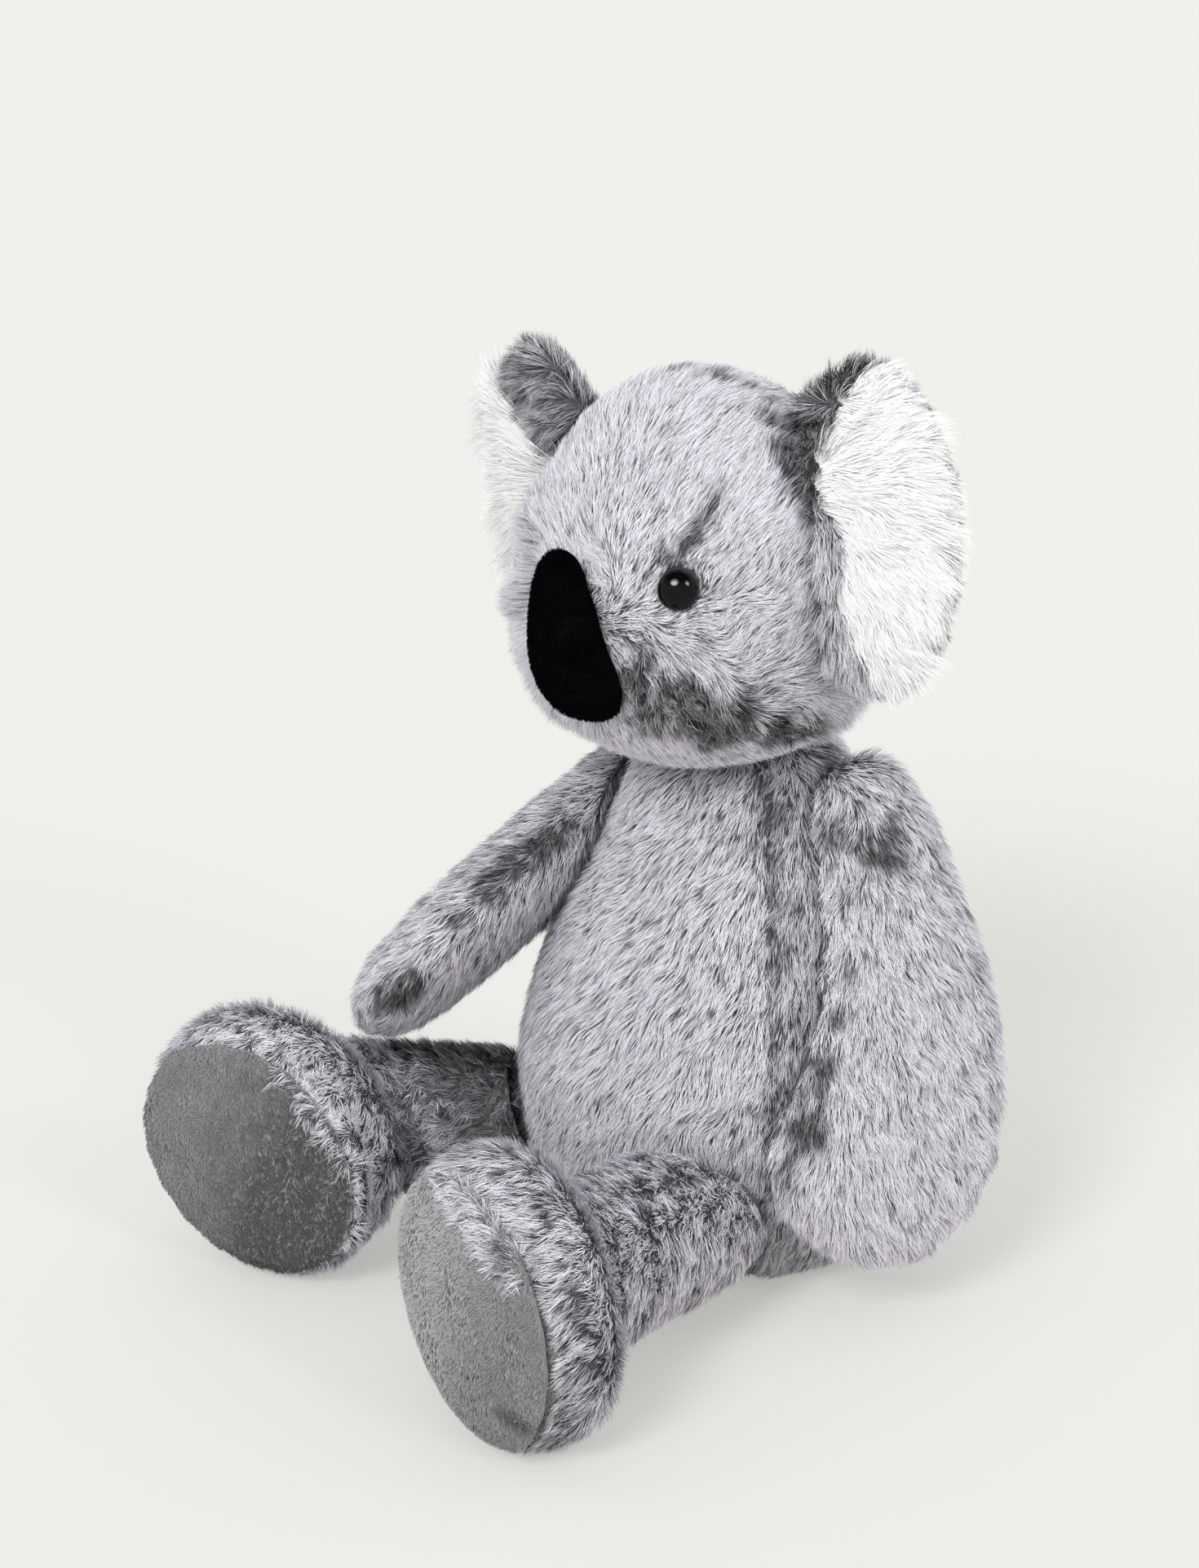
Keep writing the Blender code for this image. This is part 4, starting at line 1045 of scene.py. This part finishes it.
def make_floor():
    """Pale paper. Seen directly, part of its brightness is its own, which keeps the shadows light."""
    bm = bmesh.new()
    bmesh.ops.create_circle(bm, cap_ends=True, segments=96, radius=9.0)
    mesh = finish_mesh(bm, bpy.data.meshes.new("floor"))
    floor = link("floor", mesh)
    made, tree, shader = material("floor_paper", 0.95, 0.0)
    shader.inputs["Base Color"].default_value = (*(value * FLOOR_BOUNCE for value in BACKGROUND), 1.0)
    low, high = (tuple(value * FLOOR_LIT / FLOOR_TOTAL * level for value in BACKGROUND) for level in (0.997, 1.003))
    paper = tree.nodes.new("ShaderNodeBsdfDiffuse")
    tree.links.new(ramp(tree, ((0.3, low), (0.7, high)), noise(tree, 3.0)), paper.inputs["Color"])
    glow = tree.nodes.new("ShaderNodeEmission")
    glow.inputs["Color"].default_value = (*BACKGROUND, 1.0)
    glow.inputs["Strength"].default_value = 1.0 - FLOOR_LIT
    both = tree.nodes.new("ShaderNodeAddShader")
    tree.links.new(paper.outputs[0], both.inputs[0])
    tree.links.new(glow.outputs[0], both.inputs[1])
    mix = tree.nodes.new("ShaderNodeMixShader")
    tree.links.new(seen_directly(tree), mix.inputs["Fac"])
    tree.links.new(shader.outputs[0], mix.inputs[1])
    tree.links.new(both.outputs[0], mix.inputs[2])
    tree.links.new(mix.outputs[0], tree.nodes["Material Output"].inputs["Surface"])
    mesh.materials.append(made)


def make_world():
    world = bpy.data.worlds.new("studio")
    bpy.context.scene.world = world
    world.use_nodes = True
    tree = world.node_tree
    tree.nodes.clear()
    light = tree.nodes.new("ShaderNodeBackground")
    light.inputs["Color"].default_value = (1.0, 1.0, 1.0, 1.0)
    light.inputs["Strength"].default_value = SKY_LEVEL
    seen = tree.nodes.new("ShaderNodeBackground")
    coordinates = tree.nodes.new("ShaderNodeTexCoord")
    split = tree.nodes.new("ShaderNodeSeparateXYZ")
    tree.links.new(coordinates.outputs["Generated"], split.inputs["Vector"])
    ceiling = tuple(value * 0.12 for value in BACKGROUND)
    tree.links.new(ramp(tree, ((0.35, BACKGROUND), (0.75, ceiling)), split.outputs["Z"]), seen.inputs["Color"])
    strength = None
    for right, up, toward, half, level in SOFTBOXES:
        way = (RIGHT * right + CAMERA_UP * up - FORWARD * toward).normalized()
        near = tree.nodes.new("ShaderNodeVectorMath")
        near.operation = "DOT_PRODUCT"
        tree.links.new(coordinates.outputs["Generated"], near.inputs[0])
        near.inputs[1].default_value = way
        box = tree.nodes.new("ShaderNodeMapRange")
        box.inputs["From Min"].default_value = math.cos(math.radians(half + 2))
        box.inputs["From Max"].default_value = math.cos(math.radians(half - 2))
        box.inputs["To Min"].default_value = 0.0
        box.inputs["To Max"].default_value = level
        tree.links.new(near.outputs["Value"], box.inputs["Value"])
        add = tree.nodes.new("ShaderNodeMath")
        add.operation = "ADD"
        tree.links.new(box.outputs["Result"], add.inputs[0])
        add.inputs[1].default_value = 1.0
        if strength is not None:
            tree.links.new(strength, add.inputs[1])
        strength = add.outputs[0]
    tree.links.new(strength, seen.inputs["Strength"])
    mix = tree.nodes.new("ShaderNodeMixShader")
    out = tree.nodes.new("ShaderNodeOutputWorld")
    tree.links.new(seen_directly(tree), mix.inputs["Fac"])
    tree.links.new(light.outputs[0], mix.inputs[1])
    tree.links.new(seen.outputs[0], mix.inputs[2])
    tree.links.new(mix.outputs[0], out.inputs["Surface"])


def make_lamp(name, right, up, toward, width, level):
    """A far softbox in a direction from the camera's point of view, so many degrees wide. level is what a white
    card turned to it gives back."""
    way = (RIGHT * right + CAMERA_UP * up - FORWARD * toward).normalized()
    data = bpy.data.lights.new(name, "SUN")
    data.angle = math.radians(width)
    data.energy = level * math.pi
    lamp = bpy.data.objects.new(name, data)
    lamp.location = Vector((0.0, 0.0, 0.14)) + way * 3.0
    lamp.rotation_euler = (-way).to_track_quat("-Z", "Y").to_euler()
    bpy.context.scene.collection.objects.link(lamp)


make_floor()
make_world()
for lamp_name, lamp_place in LAMPS.items():
    make_lamp(lamp_name, *lamp_place)

camera_data = bpy.data.cameras.new("camera")
camera_data.sensor_fit = "VERTICAL"
camera_data.sensor_height = 36.0
camera_data.lens = CAMERA_LENS
camera_data.clip_start = 0.05
camera = bpy.data.objects.new("camera", camera_data)
camera.location = CAMERA_PLACE
camera.rotation_euler = Matrix((RIGHT, CAMERA_UP, -FORWARD)).transposed().to_euler()
bpy.context.scene.collection.objects.link(camera)
bpy.context.scene.camera = camera
bpy.context.scene.view_settings.view_transform = "Standard"
